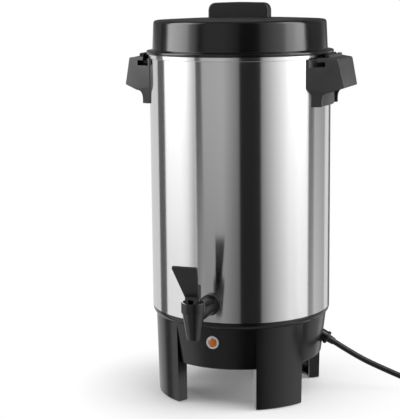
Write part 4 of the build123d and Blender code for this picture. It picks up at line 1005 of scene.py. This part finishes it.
# A cheek is capped by two faces, which meet on the line from its root to its last point.
root_index = len(hood_top) + len(lip)
upper_cap = [*range(root_index + 1), len(cheek) - 1]
leg_cap = [*range(root_index, len(cheek))]
ridge_section = np.array(
    [
        (neck_outer, HOOD_TOP),
        (neck_outer, RIDGE_TOP),
        (RIDGE_OUTER, RIDGE_TOP),
        (RIDGE_OUTER, HOOD_TOP),
    ]
)
ridge = turned(ridge_section, -RIDGE_HALF_ANGLE, RIDGE_HALF_ANGLE, RIDGE_STATIONS)
for name, node, side in (("hood_left", "handle_left", -1.0), ("hood_right", "handle_right", 1.0)):
    mirror = np.array([side, 1.0, 1.0])
    tubes = [swept(hood * mirror, caps=[upper_cap, leg_cap]), swept(ridge * mirror)]
    moulding(name, "urn", node, "handle_plastic", tubes, HOOD_EDGE)

# %% [markdown]
# ## The tap's body
# The tap is moulded in one piece: a round head over a tapering spout, on a stout shank that ends
# in a collar against the steel. It could be joined from cones and cylinders. Here the spout is one
# section turned about its own axis, because head, chamber and outlet all share that axis. The
# shank is a row of rings, out along its skin and back through its bore, which lies a little higher
# than the skin's axis.

# %% Tap spout
SPOUT_TOP_RADIUS, SPOUT_TIP_RADIUS = 11.7, 7.0
HEAD_FOOT = 123.2
CHAMBER_RADIUS, OUTLET_RADIUS = 6.0, 4.0
SPOUT_STATIONS = 72
tap_low, tap_high = millimetres("tap_body")
bonnet_low, bonnet_high = millimetres("tap_bonnet")
valve_seat = millimetres("valve_seal")[0][2]
head_radius = tap_high[0]
head_bore = bonnet_high[0] + SEAT
spout_y = (bonnet_low[1] + bonnet_high[1]) / 2
spout_section = eased(
    [
        (SPOUT_TIP_RADIUS, tap_low[2], SOFT),
        (SPOUT_TOP_RADIUS, HEAD_FOOT, FINE),
        (head_radius, HEAD_FOOT, SOFT),
        (head_radius, tap_high[2], SOFT),
        (head_bore, tap_high[2], FINE),
        (head_bore, bonnet_low[2], CORNER),
        (CHAMBER_RADIUS, bonnet_low[2], CORNER),
        (CHAMBER_RADIUS, valve_seat, CORNER),
        (OUTLET_RADIUS, valve_seat, CORNER),
        (OUTLET_RADIUS, tap_low[2], FINE),
    ]
)
spout = full_turn(spout_section, SPOUT_STATIONS) + np.array([0.0, spout_y, 0.0])
print("spout axis at y", round(spout_y, 2), "head radius", round(head_radius, 2))

# %% Tap shank
SHANK_DROP = 3.6
SHANK_RADIUS, SHANK_BORE = 9.2, 4.0
COLLAR_RADIUS, COLLAR_WALL = 11.4, 3.0
THREAD_RADIUS = 6.0
RING_POINTS = 48
TAP_EDGE = 0.4
washer_low, washer_high = millimetres("tap_washer")
bore_z = (washer_low[2] + washer_high[2]) / 2
shank_z = bore_z - SHANK_DROP
collar_face = -washer_low[1]
thread_end = -tap_high[1]
shank_end = -spout_y - CHAMBER_RADIUS - SEAT


def shank_rings(stops):
    """Rings across the shank: each stop (s, r, z) becomes (r cos a, -s, z + r sin a)."""
    turn = np.linspace(0.0, 2 * np.pi, RING_POINTS, endpoint=False)
    reach, radius, height = np.array(stops).T[:, :, None]
    return np.stack([radius * np.cos(turn), 0 * turn - reach, height + radius * np.sin(turn)], axis=-1)


shank = shank_rings(
    [
        (collar_face, COLLAR_RADIUS, shank_z),
        (collar_face + COLLAR_WALL, COLLAR_RADIUS, shank_z),
        (collar_face + COLLAR_WALL, SHANK_RADIUS, shank_z),
        (shank_end, SHANK_RADIUS, shank_z),
        (shank_end, SHANK_BORE, bore_z),
        (thread_end, SHANK_BORE, bore_z),
        (thread_end, THREAD_RADIUS, bore_z),
        (collar_face, THREAD_RADIUS, bore_z),
    ]
)
tap_tubes = [swept(spout, closed=True), swept(shank, closed=True)]
moulding("tap_spout", "urn", "tap_body", "tap_plastic", tap_tubes, TAP_EDGE)

# %% [markdown]
# ## The collar's washer
# A rubber ring seals the collar against the steel. The CAD has it as a plain ring, which could
# stay, but the drawn collar sits lower than the solid's. A short row of rings makes one to match.

# %% Collar washer
# The back lies a little inside the shell's skin, because the skin curves away from a flat ring.
WASHER_RADIUS, WASHER_BACK = 11.0, 99.3
washer = shank_rings(
    [
        (collar_face, WASHER_RADIUS, shank_z),
        (WASHER_BACK, WASHER_RADIUS, shank_z),
        (WASHER_BACK, THREAD_RADIUS + SEAT, bore_z),
        (collar_face, THREAD_RADIUS + SEAT, bore_z),
    ]
)
moulding("collar_washer", "urn", "tap_washer", "rubber", [swept(washer, closed=True)])

# %% [markdown]
# ## The closing spring
# Inside the tap a spring presses the valve shut. A stack of rings would look right at rest. A true
# coil also looks right when it is pushed together: as the lever lifts the stem, the seal drives
# the spring up towards the bonnet. This one is drawn at rest with a mesh of its own, and the share
# of its length that it keeps at the stem's full slide is worked out.

# %% Closing spring
SPRING_WIRE_RADIUS = 0.4
SPRING_TURNS, SPRING_POINTS_PER_TURN = 5, 16
WIRE_SIDES = 8
spring_low, spring_high = millimetres("valve_spring")
spring_height = spring_high[2] - spring_low[2]
coil_middle = (spring_low + spring_high) / 2
spring_radius = (spring_high[0] - spring_low[0]) / 2 - SPRING_WIRE_RADIUS


def spring_sections():
    """Circles across a helix: radius times (cos, sin) of the angle, rising evenly with it."""
    share = np.linspace(0.0, 1.0, SPRING_POINTS_PER_TURN * SPRING_TURNS + 1)
    angle = 2 * np.pi * SPRING_TURNS * share
    across = np.stack([np.cos(angle), np.sin(angle), 0 * angle], axis=-1)
    centre = coil_middle + spring_radius * across
    rise = spring_height - 2 * SPRING_WIRE_RADIUS
    centre[:, 2] = spring_low[2] + SPRING_WIRE_RADIUS + rise * share
    along = np.gradient(centre, axis=0)
    above = np.cross(along / np.linalg.norm(along, axis=1, keepdims=True), across)
    turn = np.linspace(0.0, 2 * np.pi, WIRE_SIDES, endpoint=False)[None, :, None]
    ring = np.cos(turn) * across[:, None] + np.sin(turn) * above[:, None]
    return centre[:, None] + SPRING_WIRE_RADIUS * ring


spring = moulding("closing_spring", "urn", "valve_spring", "zinc_steel", [swept(spring_sections())])
joints = {joint["name"]: joint for joint in frame["record"]["behaviour"]["joints"]}
lift = joints["stem_lift"]["range_m"][1] / MM
left_over = 1 - lift / spring_height
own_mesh(spring)
print("spring keeps", round(left_over, 3), "of its length")
